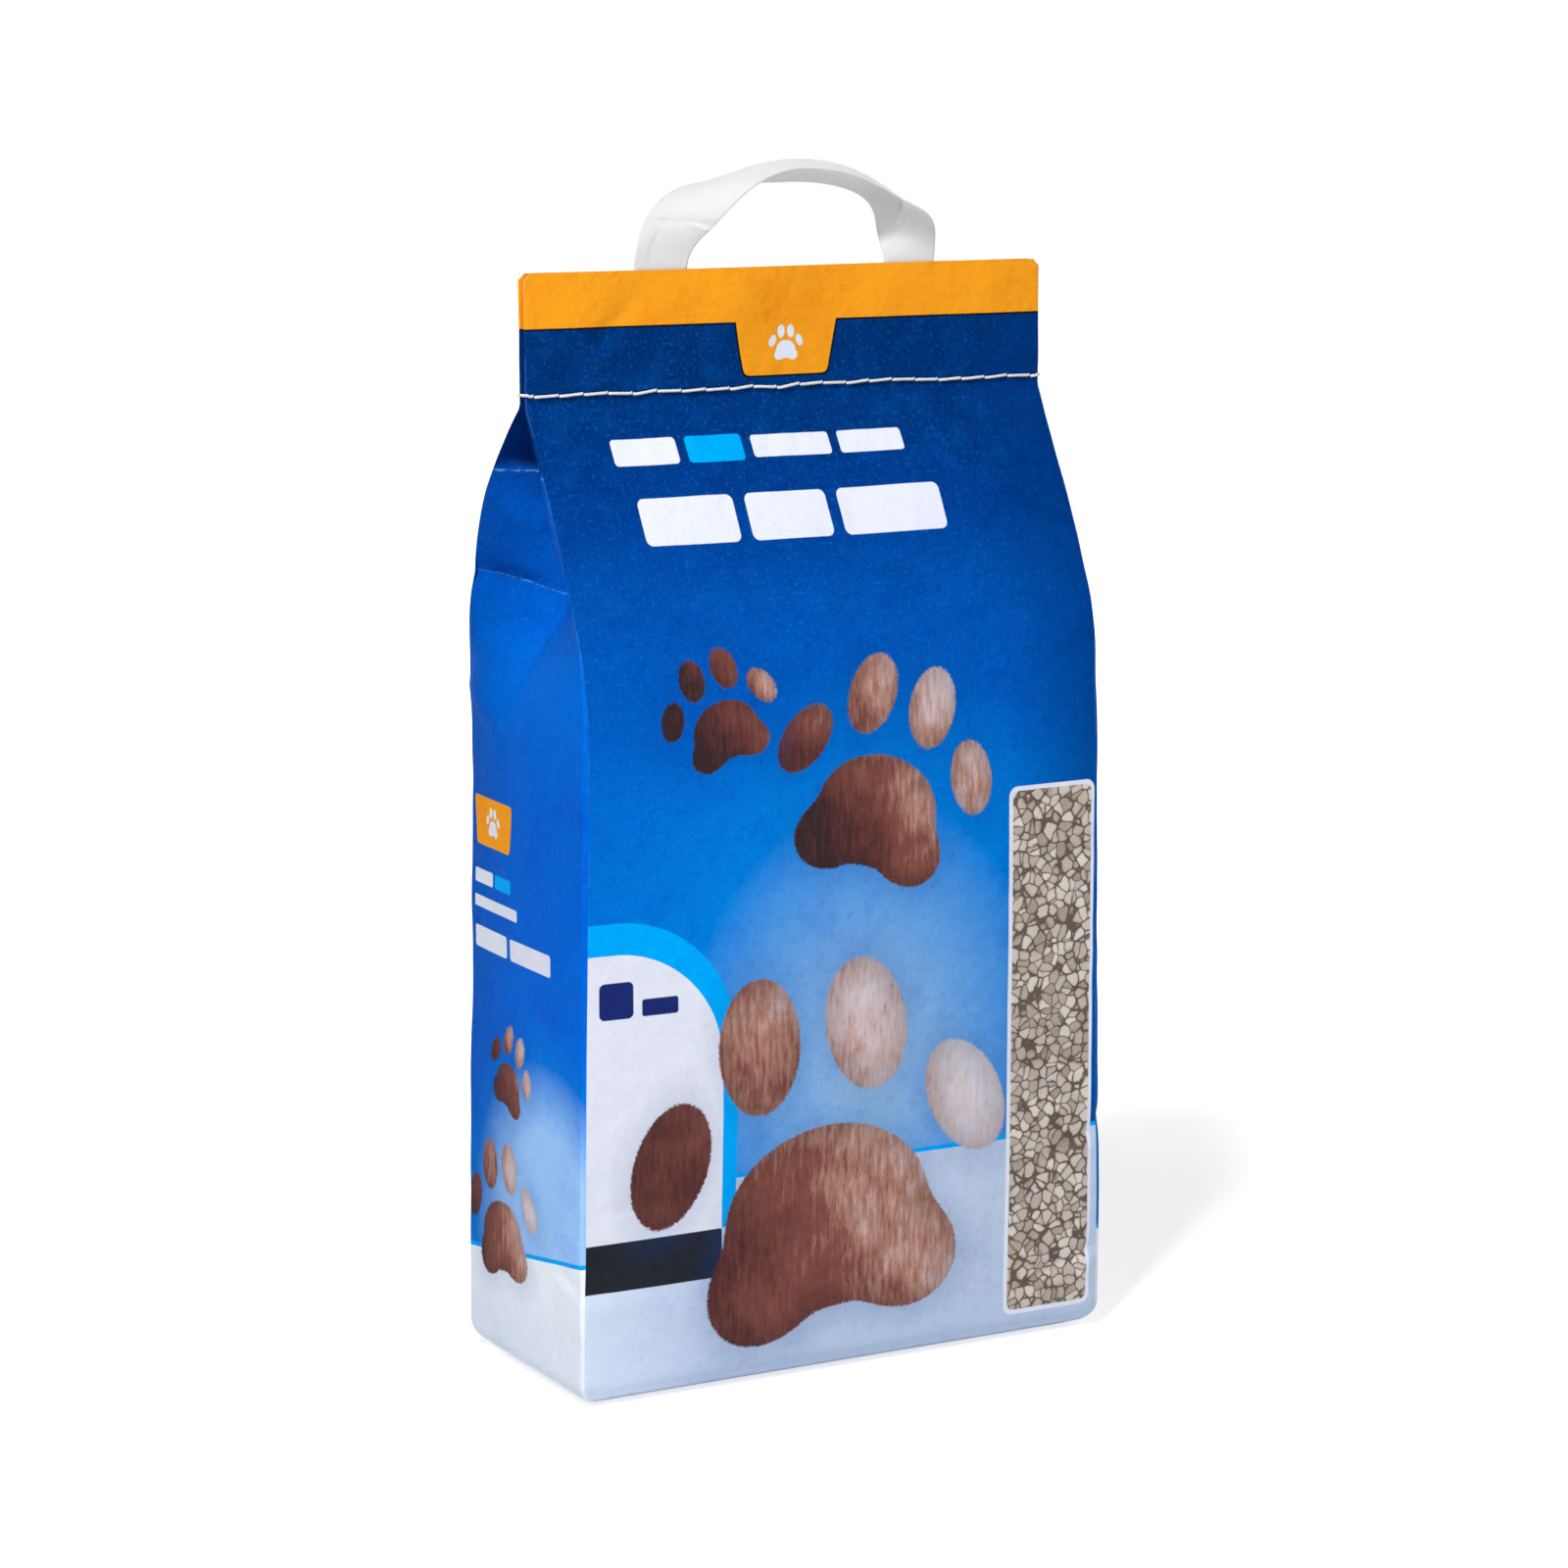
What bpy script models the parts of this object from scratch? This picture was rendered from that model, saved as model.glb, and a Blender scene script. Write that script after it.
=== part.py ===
"""A sealed 5 kg paper sack of cat litter, sewn shut at the top, with a twisted strap handle.

Metres, +Z up. The origin is on the floor under the middle of the sack. +X runs along the sack's
width, and the front panel faces -Y.
"""

from math import atan2, cos, exp, pi, radians, sin, sqrt

import bmesh
import bpy
from mathutils import Vector

# Filled body of the sack
SACK_WIDTH = 0.231
SACK_DEPTH = 0.100
SACK_HEIGHT = 0.424
FOLD_WIDTH = 0.224
SIDE_BULGE = 0.0015
PANEL_BULGE = 0.003
CORNER_RADIUS = 0.003
BASE_RADIUS = 0.009
FOLD_RADIUS = 0.0004

# Block bottom, folded from overlapping flaps of paper
BASE_LAYER = 0.0005
BASE_OVERLAP = 0.012

# Shoulders, where the panels lean in to the closed flap. Each drop is a distance below the top
FRONT_SHOULDER_DROP = 0.140
BACK_SHOULDER_DROP = 0.136
FRONT_LEAN_POWER = 1.1
BACK_LEAN_POWER = 2.1
SHOULDER_SOFTNESS = 0.016

# Side gussets: a middle crease that goes in from the gusset drop upwards, and two cross folds
GUSSET_DROP = 0.144
GUSSET_SLOPE = 0.55
GUSSET_SOFTNESS = 0.006
GUSSET_TUCK = 0.040
TIP_DROP = 0.174
TIP_SLOPE = 0.18
TIP_SOFTNESS = 0.003
GUSSET_SKEW = 0.024
SKEW_FADE = 0.040
PINCH_DROP = 0.117
PINCH_SLANT = 0.010
UPPER_BOW = 0.009
LOWER_BOW = 0.003
CREASE_DROP = 0.074
CREASE_WIDTH = 0.004

# Closed flap and its row of stitches
FLAP_EDGE_THICKNESS = 0.0047
FLAP_WALL = 0.0006
FLAP_WAVE = 0.0010
FLAP_WAVELENGTH = 0.150
FLAP_CORNER_CUT = 0.0025
SEAM_DROP = 0.0455
SEAM_TO_HINGE = 0.004

# Closing thread, a chain stitch
THREAD_DIAMETER = 0.0009
STITCH_PITCH = 0.0103
STITCH_EDGE_MARGIN = 0.0035
STRAND_SPACING = 0.0012
THREAD_TAIL = 0.0009

# Carrying handle, one flat strap with half a turn in it
STRAP_WIDTH = 0.022
STRAP_THICKNESS = 0.0009
HANDLE_SPAN = 0.109
HANDLE_RISE = 0.034
RISE_POWER = 0.84
HANDLE_LEAN = 0.005
HANDLE_SET_BACK = 0.0024
STRAP_CURL = 0.006
STRAP_ROLL_DEGREES = 16
TWIST_DRIFT = -0.08
LEFT_TWIST_POWER = 1
RIGHT_TWIST_POWER = 8
LEG_TUCK = 0.058

# Room between pieces that touch
FIT_GAP = 0.0003

# Fineness of the mesh
PANEL_SEGMENTS = 14
GUSSET_SEGMENTS = 4
FOLD_SEGMENTS = 3
BASE_RINGS = 4
BODY_RINGS = 6
GUSSET_RINGS = 12
FLAP_RINGS = 3
MOUTH_COLUMNS = 16
MOUTH_ROWS = 5
HOLE_SIDES = 8
STRAP_SEGMENTS = 4
ARCH_SEGMENTS = 30
LEG_SEGMENTS = 4

front_shoulder = SACK_HEIGHT - FRONT_SHOULDER_DROP
back_shoulder = SACK_HEIGHT - BACK_SHOULDER_DROP
gusset_start = SACK_HEIGHT - GUSSET_DROP
tip_height = SACK_HEIGHT - TIP_DROP
pinch_height = SACK_HEIGHT - PINCH_DROP
crease_height = SACK_HEIGHT - CREASE_DROP
seam_height = SACK_HEIGHT - SEAM_DROP
hinge_height = seam_height - SEAM_TO_HINGE
flap_top = SACK_HEIGHT - FLAP_CORNER_CUT
slit_thickness = STRAP_THICKNESS + 2 * FIT_GAP
flap_middle_thickness = slit_thickness + 2 * FLAP_WALL
mouth_half = (HANDLE_SPAN + STRAP_WIDTH) / 2 + FIT_GAP
leg_bottom = SACK_HEIGHT - LEG_TUCK


def smooth_step(low, high, value):
    share = min(1.0, max(0.0, (value - low) / (high - low)))
    return share * share * (3 - 2 * share)


def blend(first, second, share):
    return first + (second - first) * share


def soft_ramp(distance, softness):
    """Zero well below zero distance, the distance itself well above it, and a soft bend between."""
    return (distance + sqrt(distance * distance + softness * softness)) / 2


def settled(x, y, z):
    """The point after the closed flap has taken its gentle wave. All pieces in the flap share it."""
    wave = FLAP_WAVE * smooth_step(hinge_height - SEAM_DROP, SACK_HEIGHT, z)
    return Vector((x, y + wave * sin(2 * pi * x / FLAP_WAVELENGTH), z))


def flap_half_thickness(x):
    """The flap is thicker towards its folded ends, where the gusset's plies lie between the panels."""
    share = (abs(x) - mouth_half) / (FOLD_WIDTH / 2 - mouth_half)
    return blend(flap_middle_thickness, FLAP_EDGE_THICKNESS, min(1.0, max(0.0, share))) / 2


def panel_reach(z, shoulder, power):
    """How far a panel's fold lines stand from the plane of the flap."""
    edge = FLAP_EDGE_THICKNESS / 2
    if z >= hinge_height:
        return edge
    rise = soft_ramp(z - shoulder, SHOULDER_SOFTNESS)
    share = rise / soft_ramp(hinge_height - shoulder, SHOULDER_SOFTNESS)
    return edge + (SACK_DEPTH / 2 - edge) * (1 - min(1.0, share) ** power)


def panel_offset(x, z, fold_x):
    """What the paper between the folds adds to the reach: a bulge below, the thin flap above."""
    height = min(1.0, z / hinge_height)
    bulge = PANEL_BULGE * (1 - (x / fold_x) ** 2) * 4 * height * (1 - height)
    thinning = FLAP_EDGE_THICKNESS / 2 - flap_half_thickness(x)
    return bulge - thinning * smooth_step(hinge_height - SEAM_DROP / 2, hinge_height, z)


def fold_reach(z):
    """Half the sack's width at its fold lines. The filling has pushed the sack wider at its foot."""
    return blend(SACK_WIDTH / 2, FOLD_WIDTH / 2, smooth_step(0, gusset_start, z))


def gusset_depth(z):
    """How far the side's middle crease is tucked in: a shallow tip, then the steep fold."""
    depth = TIP_SLOPE * soft_ramp(z - tip_height, TIP_SOFTNESS)
    depth += GUSSET_SLOPE * soft_ramp(z - gusset_start, GUSSET_SOFTNESS)
    return depth / (1 + (depth / GUSSET_TUCK) ** 4) ** 0.25


def gusset_skew(z):
    """The tip of the middle crease runs out towards the back."""
    share = min(1.0, max(0.0, (gusset_start - z) / (gusset_start - tip_height)))
    return GUSSET_SKEW * share * smooth_step(tip_height - SKEW_FADE, tip_height, z)


def gusset_bow(z, share):
    """The filling pushes the tucked paper out, in two swellings that meet in a slanting cross fold.

    The share runs from 0 at the fold line to 1 at the middle crease.
    """
    pinch = pinch_height - PINCH_SLANT * (share - 1 / 2)
    if z < pinch:
        swelling = LOWER_BOW * sin(pi * max(0.0, (z - tip_height) / (pinch - tip_height)))
    else:
        rise = min(1.0, (z - pinch) / (crease_height - pinch))
        swelling = UPPER_BOW * (1 - (1 - rise) ** 3)
    above = smooth_step(crease_height, crease_height + CREASE_WIDTH, z)
    return swelling * (1 - above) * 4 * share * (1 - share)


def side_bulge(z):
    height = min(1.0, z / crease_height)
    return SIDE_BULGE * 4 * height * (1 - height)


def side_half(z, fold_x, gap, radius):
    """Half of a side, from the end of the panel round the fold and in to the middle crease.

    Pairs of the distance out from the sack's middle and the distance from the middle crease. The gap
    is how far apart the fold and the crease lie along the sack's depth.
    """
    depth = gusset_depth(z)
    centre_out = fold_x - radius
    centre_across = gap - radius
    last_turn = atan2(centre_across, -depth)
    points = []
    for i in range(FOLD_SEGMENTS + 1):
        turn = last_turn * i / FOLD_SEGMENTS
        points.append((centre_out + radius * sin(turn), centre_across + radius * cos(turn)))
    start_out, start_across = points[-1]
    root_out = fold_x - depth
    for i in range(1, GUSSET_SEGMENTS + 1):
        share = i / GUSSET_SEGMENTS
        bow = gusset_bow(z, share)
        bulge = side_bulge(z) * share * (2 - share)
        out = blend(start_out, root_out, share) + bow + bulge
        points.append((out, start_across * (1 - share)))
    return points


def sack_ring(z, inset=0.0, corner_cut=0.0):
    """The sack's outline at one height, anticlockwise seen from above."""
    front = -panel_reach(z, front_shoulder, FRONT_LEAN_POWER) + inset
    back = panel_reach(z, back_shoulder, BACK_LEAN_POWER) - inset
    fold_x = fold_reach(z) - inset - corner_cut
    crease_y = (front + back) / 2 + gusset_skew(z)
    radius = blend(CORNER_RADIUS, FOLD_RADIUS, smooth_step(tip_height, pinch_height, z))
    front_half = side_half(z, fold_x, crease_y - front, radius)
    back_half = side_half(z, fold_x, back - crease_y, radius)
    panel_end = front_half[0][0]
    steps = range(PANEL_SEGMENTS + 1)
    across = [panel_end * (2 * i / PANEL_SEGMENTS - 1) for i in steps]
    ring = [(x, front - panel_offset(x, z, panel_end)) for x in across]
    ring += [(out, crease_y - along) for out, along in front_half[1:]]
    ring += [(out, crease_y + along) for out, along in reversed(back_half[1:-1])]
    ring += [(x, back + panel_offset(x, z, panel_end)) for x in reversed(across)]
    ring += [(-out, crease_y + along) for out, along in back_half[1:]]
    ring += [(-out, crease_y - along) for out, along in reversed(front_half[1:-1])]
    return [settled(x, y, z) for x, y in ring]


def sack_levels():
    """The rings of the loft, as height, inset and corner cut."""
    floor = 2 * BASE_LAYER
    body_start = floor + BASE_RADIUS
    above_crease = crease_height + CREASE_WIDTH
    levels = []
    for i in range(BASE_RINGS):
        turn = radians(90) * i / BASE_RINGS
        levels.append((floor + BASE_RADIUS * (1 - cos(turn)), BASE_RADIUS * (1 - sin(turn)), 0.0))
    for i in range(BODY_RINGS):
        levels.append((blend(body_start, tip_height, i / BODY_RINGS), 0.0, 0.0))
    for i in range(GUSSET_RINGS + 1):
        levels.append((blend(tip_height, crease_height, i / GUSSET_RINGS), 0.0, 0.0))
    levels.append((above_crease, 0.0, 0.0))
    levels.append((blend(above_crease, hinge_height, 1 / 2), 0.0, 0.0))
    for i in range(FLAP_RINGS + 1):
        levels.append((blend(hinge_height, flap_top, i / FLAP_RINGS), 0.0, 0.0))
    levels.append((SACK_HEIGHT, 0.0, FLAP_CORNER_CUT))
    return levels


def make_object(name, bm):
    mesh = bpy.data.meshes.new(name)
    bmesh.ops.recalc_face_normals(bm, faces=bm.faces)
    bm.to_mesh(mesh)
    bm.free()
    result = bpy.data.objects.new(name, mesh)
    bpy.context.collection.objects.link(result)
    return result


def loft(bm, rings):
    """Closed skin through rings of the same number of points."""
    rows = [[bm.verts.new(point) for point in ring] for ring in rings]
    count = len(rows[0])
    for lower, upper in zip(rows, rows[1:]):
        for i in range(count):
            following = (i + 1) % count
            bm.faces.new((lower[i], lower[following], upper[following], upper[i]))
    bm.faces.new(reversed(rows[0]))
    bm.faces.new(rows[-1])


def prism(bm, outline, low, high):
    """Upright prism on an outline of x and y."""
    loft(bm, [[Vector((x, y, z)) for x, y in outline] for z in (low, high)])


def as_cutter(cutter):
    cutter.hide_render = True
    cutter.display_type = "WIRE"
    return cutter


def combine(target, other, operation):
    modifier = target.modifiers.new(other.name, "BOOLEAN")
    modifier.operation = operation
    modifier.solver = "EXACT"
    modifier.object = other


def base_flaps():
    """The two glued flaps under the block bottom. The front one lies over the back one."""
    half_width = fold_reach(0) - BASE_RADIUS - CORNER_RADIUS / 2
    half_depth = SACK_DEPTH / 2 - BASE_RADIUS - CORNER_RADIUS / 2
    sunk = 2 * BASE_LAYER
    top = 2 * BASE_LAYER + sunk
    flaps = []
    for name, side, bottom in (("front_flap", -1, 0.0), ("back_flap", 1, BASE_LAYER)):
        reach = half_depth + BASE_OVERLAP
        outline = [
            (-half_width, side * half_depth),
            (half_width, side * half_depth),
            (half_width - reach, -side * BASE_OVERLAP),
            (-half_width + reach, -side * BASE_OVERLAP),
        ]
        bm = bmesh.new()
        prism(bm, outline if side < 0 else outline[::-1], bottom, top)
        flaps.append(as_cutter(make_object(name, bm)))
    return flaps


def mouth_cutter():
    """The slit between the front and back plies, which the handle's legs go down."""
    low = leg_bottom - FIT_GAP
    high = SACK_HEIGHT + FLAP_CORNER_CUT
    steps = range(MOUTH_COLUMNS + 1)
    across = [blend(-mouth_half, mouth_half, i / MOUTH_COLUMNS) for i in steps]
    rings = []
    for row in range(MOUTH_ROWS + 1):
        z = blend(low, high, row / MOUTH_ROWS)
        ring = [settled(x, -slit_thickness / 2, z) for x in across]
        ring += [settled(x, slit_thickness / 2, z) for x in reversed(across)]
        rings.append(ring)
    bm = bmesh.new()
    loft(bm, rings)
    return as_cutter(make_object("mouth_slit", bm))


def stitch_places():
    """The x of each needle hole, evenly spaced about the middle of the flap."""
    gaps = int((FOLD_WIDTH - 2 * STITCH_EDGE_MARGIN) / STITCH_PITCH)
    return [(i - gaps / 2) * STITCH_PITCH for i in range(gaps + 1)]


def needle_cutter():
    """One upright slot for each needle hole, wide enough for the two strands that pass it."""
    half_width = THREAD_DIAMETER / 2 + FIT_GAP
    straight = STRAND_SPACING / 2
    reach = 2 * FLAP_EDGE_THICKNESS
    bm = bmesh.new()
    for place in stitch_places():
        rim = []
        for i in range(HOLE_SIDES):
            turn = radians(360) * (i + 1 / 2) / HOLE_SIDES
            lift = straight if sin(turn) > 0 else -straight
            rim.append((half_width * cos(turn), lift + half_width * sin(turn)))
        rings = [
            [settled(place + x, y, seam_height + z) for x, z in rim] for y in (reach, -reach)
        ]
        loft(bm, rings)
    return as_cutter(make_object("needle_holes", bm))


def make_sack(cutters):
    bm = bmesh.new()
    loft(bm, [sack_ring(*level) for level in sack_levels()])
    sack = make_object("filled_sack", bm)
    for flap in base_flaps():
        combine(sack, flap, "UNION")
    for cutter in cutters:
        combine(sack, cutter, "DIFFERENCE")
    return sack


def strap_twist(turn):
    """How far the strap has turned about its own run: evenly on the left, late on the right."""
    side = cos(turn)
    power = LEFT_TWIST_POWER if side > 0 else RIGHT_TWIST_POWER
    share = TWIST_DRIFT * side + (1 - TWIST_DRIFT) * side * abs(side) ** power
    return radians(90) * (1 - share) + radians(STRAP_ROLL_DEGREES) * sin(turn) ** 2


def strap_frame(turn):
    """Middle, width direction and outward direction of the strap at an angle along its arch."""
    lean = HANDLE_LEAN * sin(turn)
    height = SACK_HEIGHT + HANDLE_RISE * max(0.0, sin(turn)) ** RISE_POWER
    set_back = HANDLE_SET_BACK * sin(turn)
    middle = Vector((lean - HANDLE_SPAN / 2 * cos(turn), set_back, height))
    inward = Vector((cos(turn), 0, -sin(turn)))
    along = Vector((sin(turn), 0, cos(turn)))
    twist = strap_twist(turn)
    width = inward * cos(twist) + Vector((0, -1, 0)) * sin(twist)
    return middle, width, width.cross(along)


def strap_rows():
    """Rows of points across the strap, from the foot of one leg to the foot of the other."""
    rows = []
    leg = [leg_bottom + LEG_TUCK * i / LEG_SEGMENTS for i in range(LEG_SEGMENTS)]
    across = [STRAP_WIDTH * (i / STRAP_SEGMENTS - 0.5) for i in range(STRAP_SEGMENTS + 1)]
    for z in leg:
        rows.append([settled(u - HANDLE_SPAN / 2, 0, z) for u in across])
    for i in range(ARCH_SEGMENTS + 1):
        turn = pi * i / ARCH_SEGMENTS
        middle, width, outward = strap_frame(turn)
        row = []
        for u in across:
            curl = STRAP_CURL * sin(turn) ** 2 * (1 - (2 * u / STRAP_WIDTH) ** 2)
            row.append(settled(*(middle + width * u + outward * curl)))
        rows.append(row)
    for z in reversed(leg):
        rows.append([settled(u + HANDLE_SPAN / 2, 0, z) for u in across])
    return rows


def make_handle(cutters):
    bm = bmesh.new()
    rows = [[bm.verts.new(point) for point in row] for row in strap_rows()]
    for lower, upper in zip(rows, rows[1:]):
        for i in range(STRAP_SEGMENTS):
            bm.faces.new((lower[i], lower[i + 1], upper[i + 1], upper[i]))
    handle = make_object("carry_handle", bm)
    thickness = handle.modifiers.new("strap_thickness", "SOLIDIFY")
    thickness.thickness = STRAP_THICKNESS
    thickness.offset = 0
    thickness.use_even_offset = True
    for cutter in cutters:
        combine(handle, cutter, "DIFFERENCE")
    return handle


def thread_route():
    """The closing thread from end to end: runs along the front, chain loops along the back."""
    places = stitch_places()
    radius = THREAD_DIAMETER / 2
    lie = radius + FIT_GAP
    over = lie + THREAD_DIAMETER + FIT_GAP
    strand = STRAND_SPACING / 2
    turn = radius
    clear = THREAD_DIAMETER + FIT_GAP
    wide = strand + clear
    spread = STITCH_PITCH / 3
    edge = FOLD_WIDTH / 2 + lie
    route = []

    def add(x, side, stand, z):
        """A point that stands off the flap's front (side -1) or back (side 1)."""
        y = side * (flap_half_thickness(x) + stand)
        route.append(settled(x, y, seam_height + z))

    def wrap(end):
        """From the front round the folded end of the flap to a short tail on the back."""
        corner = FOLD_WIDTH / 2 - radius
        return [
            (end * corner, -1, lie),
            (end * edge, -1, -radius),
            (end * edge, 1, -radius),
            (end * corner, 1, lie),
            (end * (corner - THREAD_TAIL), 1, lie),
        ]

    for x, side, stand in reversed(wrap(-1)):
        add(x, side, stand, 0)
    for number, place in enumerate(places):
        last = number == len(places) - 1
        add(place - turn, -1, lie, strand)
        add(place, -1, lie - turn, strand)
        add(place, 1, over - turn, strand)
        if last:
            add(place + turn, 1, over, strand / 2)
            add(place + turn, 1, over, -strand / 2)
        else:
            reach = places[number + 1]
            loop = [
                (place + turn, over, strand),
                (place + clear + turn, over, strand),
                (place + spread, lie, (strand + wide) / 2),
                (reach, lie, wide),
                (reach + clear - turn, lie, wide - turn),
                (reach + clear, lie, strand),
            ]
            for x, stand, z in loop:
                add(x, 1, stand, z)
            for x, stand, z in reversed(loop):
                add(x, 1, stand, -z)
        add(place, 1, over - turn, -strand)
        add(place, -1, lie - turn, -strand)
        add(place + turn, -1, lie, -strand)
    for x, side, stand in wrap(1):
        add(x, side, stand, 0)
    return route


def make_thread():
    route = thread_route()
    curve = bpy.data.curves.new("closing_thread", "CURVE")
    curve.dimensions = "3D"
    curve.bevel_depth = THREAD_DIAMETER / 2
    curve.bevel_resolution = 1
    curve.use_fill_caps = True
    spline = curve.splines.new("POLY")
    spline.points.add(len(route) - 1)
    for point, place in zip(spline.points, route):
        point.co = (*place, 1)
    thread = bpy.data.objects.new("closing_thread", curve)
    bpy.context.collection.objects.link(thread)
    return thread


def give_material(piece, name, colour, roughness):
    material = bpy.data.materials.new(name)
    material.use_nodes = True
    shader = material.node_tree.nodes["Principled BSDF"]
    shader.inputs["Base Color"].default_value = (*colour, 1)
    shader.inputs["Roughness"].default_value = roughness
    shader.inputs["Metallic"].default_value = 0
    piece.data.materials.append(material)


def shade_round(piece, sharp_angle):
    piece.data.shade_smooth()
    piece.data.set_sharp_from_angle(angle=radians(sharp_angle))


def main():
    for old in list(bpy.data.objects):
        bpy.data.objects.remove(old)
    mouth = mouth_cutter()
    holes = needle_cutter()
    sack = make_sack([mouth, holes])
    shade_round(sack, 35)
    give_material(sack, "printed_paper", (0.003, 0.086, 0.392), 0.45)
    handle = make_handle([holes])
    shade_round(handle, 50)
    give_material(handle, "white_strap", (0.84, 0.85, 0.85), 0.5)
    thread = make_thread()
    give_material(thread, "white_thread", (0.80, 0.79, 0.74), 0.85)


main()
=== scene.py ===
"""Looks of the sewn litter sack: the paper skin with its print, the strap handle and the thread.

Metres, +Z up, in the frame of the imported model. The front panel faces -Y.
"""

from math import atan2, cos, pi, radians, sin, sqrt

import bmesh
import bpy
import numpy as np
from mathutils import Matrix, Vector, noise


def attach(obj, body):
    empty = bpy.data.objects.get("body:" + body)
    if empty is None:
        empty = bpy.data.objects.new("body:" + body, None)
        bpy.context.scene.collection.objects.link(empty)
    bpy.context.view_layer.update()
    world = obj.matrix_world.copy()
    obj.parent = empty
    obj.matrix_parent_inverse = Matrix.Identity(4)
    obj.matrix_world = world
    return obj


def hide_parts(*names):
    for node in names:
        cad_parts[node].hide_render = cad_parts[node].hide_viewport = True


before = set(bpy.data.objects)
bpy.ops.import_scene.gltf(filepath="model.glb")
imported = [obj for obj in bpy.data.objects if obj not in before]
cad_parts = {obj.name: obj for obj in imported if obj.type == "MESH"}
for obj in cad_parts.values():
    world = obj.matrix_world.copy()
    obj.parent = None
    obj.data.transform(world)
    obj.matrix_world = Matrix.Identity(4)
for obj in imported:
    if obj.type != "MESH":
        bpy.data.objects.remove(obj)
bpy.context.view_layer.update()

MM = 0.001

# Camera, as solved from the photograph
CAMERA_PLACE = (-0.802, -1.458, 0.516)
CAMERA_YAW = 28.78
CAMERA_TILT = 9.99
CAMERA_LENS = 99.4
CAMERA_SENSOR = 36.0

# Floor and light. The glow is how bright the floor by the sack is seen before the lamps add theirs:
# the shadow shows it. Lamps: name, place, what it is aimed at, size and power in watts.
FLOOR_GLOW = 0.66
GLOW_START = 0.3
GLOW_END = 1.2
FLOOR_HALF = 8.0
FLOOR_DROP = 0.0002
FLOOR_COLOUR = (0.92, 0.92, 0.92, 1)
SKY_STRENGTH = 0.19
LAMPS = [
    ("key", (-1.0, -0.85, 1.90), (0, 0, 0.25), (0.35, 0.35), 39),
    ("fill", (-0.6, -2.2, 0.45), (0, 0, 0.22), (1.4, 0.8), 10.5),
    ("back", (0.6, 2.0, 0.30), (0, 0, 0.30), (1.6, 1.0), 12),
]

# Sack, the sizes that the CAD solids have
SACK_WIDTH = 0.231
SACK_DEPTH = 0.100
SACK_HEIGHT = 0.424
FOLD_WIDTH = 0.224
SIDE_BULGE = 0.0015
PANEL_BULGE = 0.003
CORNER_RADIUS = 0.0017
BASE_RADIUS = 0.009
FOLD_RADIUS = 0.0004
BASE_LAYER = 0.0005
BASE_OVERLAP = 0.012
FRONT_SHOULDER = 0.284
BACK_SHOULDER = 0.288
FRONT_LEAN_POWER = 1.1
BACK_LEAN_POWER = 2.1
SHOULDER_SOFTNESS = 0.016
GUSSET_START = 0.280
GUSSET_SLOPE = 0.55
GUSSET_SOFTNESS = 0.006
GUSSET_TUCK = 0.040
TIP_HEIGHT = 0.250
TIP_SLOPE = 0.23
TIP_SOFTNESS = 0.003
GUSSET_SKEW = 0.024
SKEW_FADE = 0.040
PINCH_HEIGHT = 0.3035
PINCH_SLANT = 0.010
UPPER_BOW = 0.009
LOWER_BOW = 0.003
CREASE_HEIGHT = 0.350
CREASE_WIDTH = 0.004
FLAP_EDGE_THICKNESS = 0.0047
FLAP_MIDDLE_THICKNESS = 0.0027
FLAP_WAVE = 0.0010
FLAP_WAVELENGTH = 0.150
FLAP_CORNER_CUT = 0.0025
SEAM_DROP = 0.0455
SEAM_TO_HINGE = 0.004
SLIT_THICKNESS = 0.0015
SLIT_DEPTH = 0.020

# Thread and strap
THREAD_DIAMETER = 0.00118
THREAD_TWIST = 0.0042
STITCH_PITCH = 0.0103
STITCH_EDGE_MARGIN = 0.0035
STRAND_SPACING = 0.0012
THREAD_TAIL = 0.0009
THREAD_SWAY = 0.0009
WRAP_LIFT = 0.0006
CURVE_SHARE = 0.6
PLIES = 3
PLY_ROOT = 0.90
PLY_LIFT = 0.13
STRAP_WIDTH = 0.022
STRAP_THICKNESS = 0.0006
HANDLE_SPAN = 0.109
HANDLE_RISE = 0.034
RISE_POWER = 0.84
HANDLE_LEAN = 0.005
HANDLE_SET_BACK = 0.0024
STRAP_CURL = 0.006
STRAP_ROLL_DEGREES = 16
TWIST_DRIFT = -0.08
LEFT_TWIST_POWER = 1
RIGHT_TWIST_POWER = 8
LEG_TUCK = 0.058
FIT_GAP = 0.0003
STRAP_HEM = 0.0004
HEM_EDGE = -0.0062
HEM_STEP = 0.0008
# Creases of the strap: from and to (place across, degrees on along the arch), lift and width
STRAP_CREASES = [
    ((-0.0112, 20), (0.0112, 35), -0.0011, 0.0016),
    ((-0.0020, 27), (0.0112, 30), 0.0007, 0.0014),
    ((0.0100, 140), (-0.0040, 158), -0.0009, 0.0014),
    ((0.0040, 154), (-0.0090, 172), -0.0009, 0.0014),
]

# Fineness of the meshes
FRONT_SEGMENTS = 112
GUSSET_SEGMENTS = 24
FOLD_SEGMENTS = 5
BASE_STEPS = 6
BODY_STEP = 0.0020
SLIT_COLUMNS = 40
SHARP_ANGLE = 38
STRAP_COLUMNS = 30
ARCH_ROWS = 260
LEG_ROWS = 24
THREAD_STEP = 0.00035
THREAD_SIDES = 12

# Panels in the order that a ring passes them, and the paper's material slots
FRONT, RIGHT, BACK, LEFT = range(4)
PANEL_SLOTS = [0, 1, 2, 1]
BASE_SLOT = 3
CUT_EDGE_SLOT = 4

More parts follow.
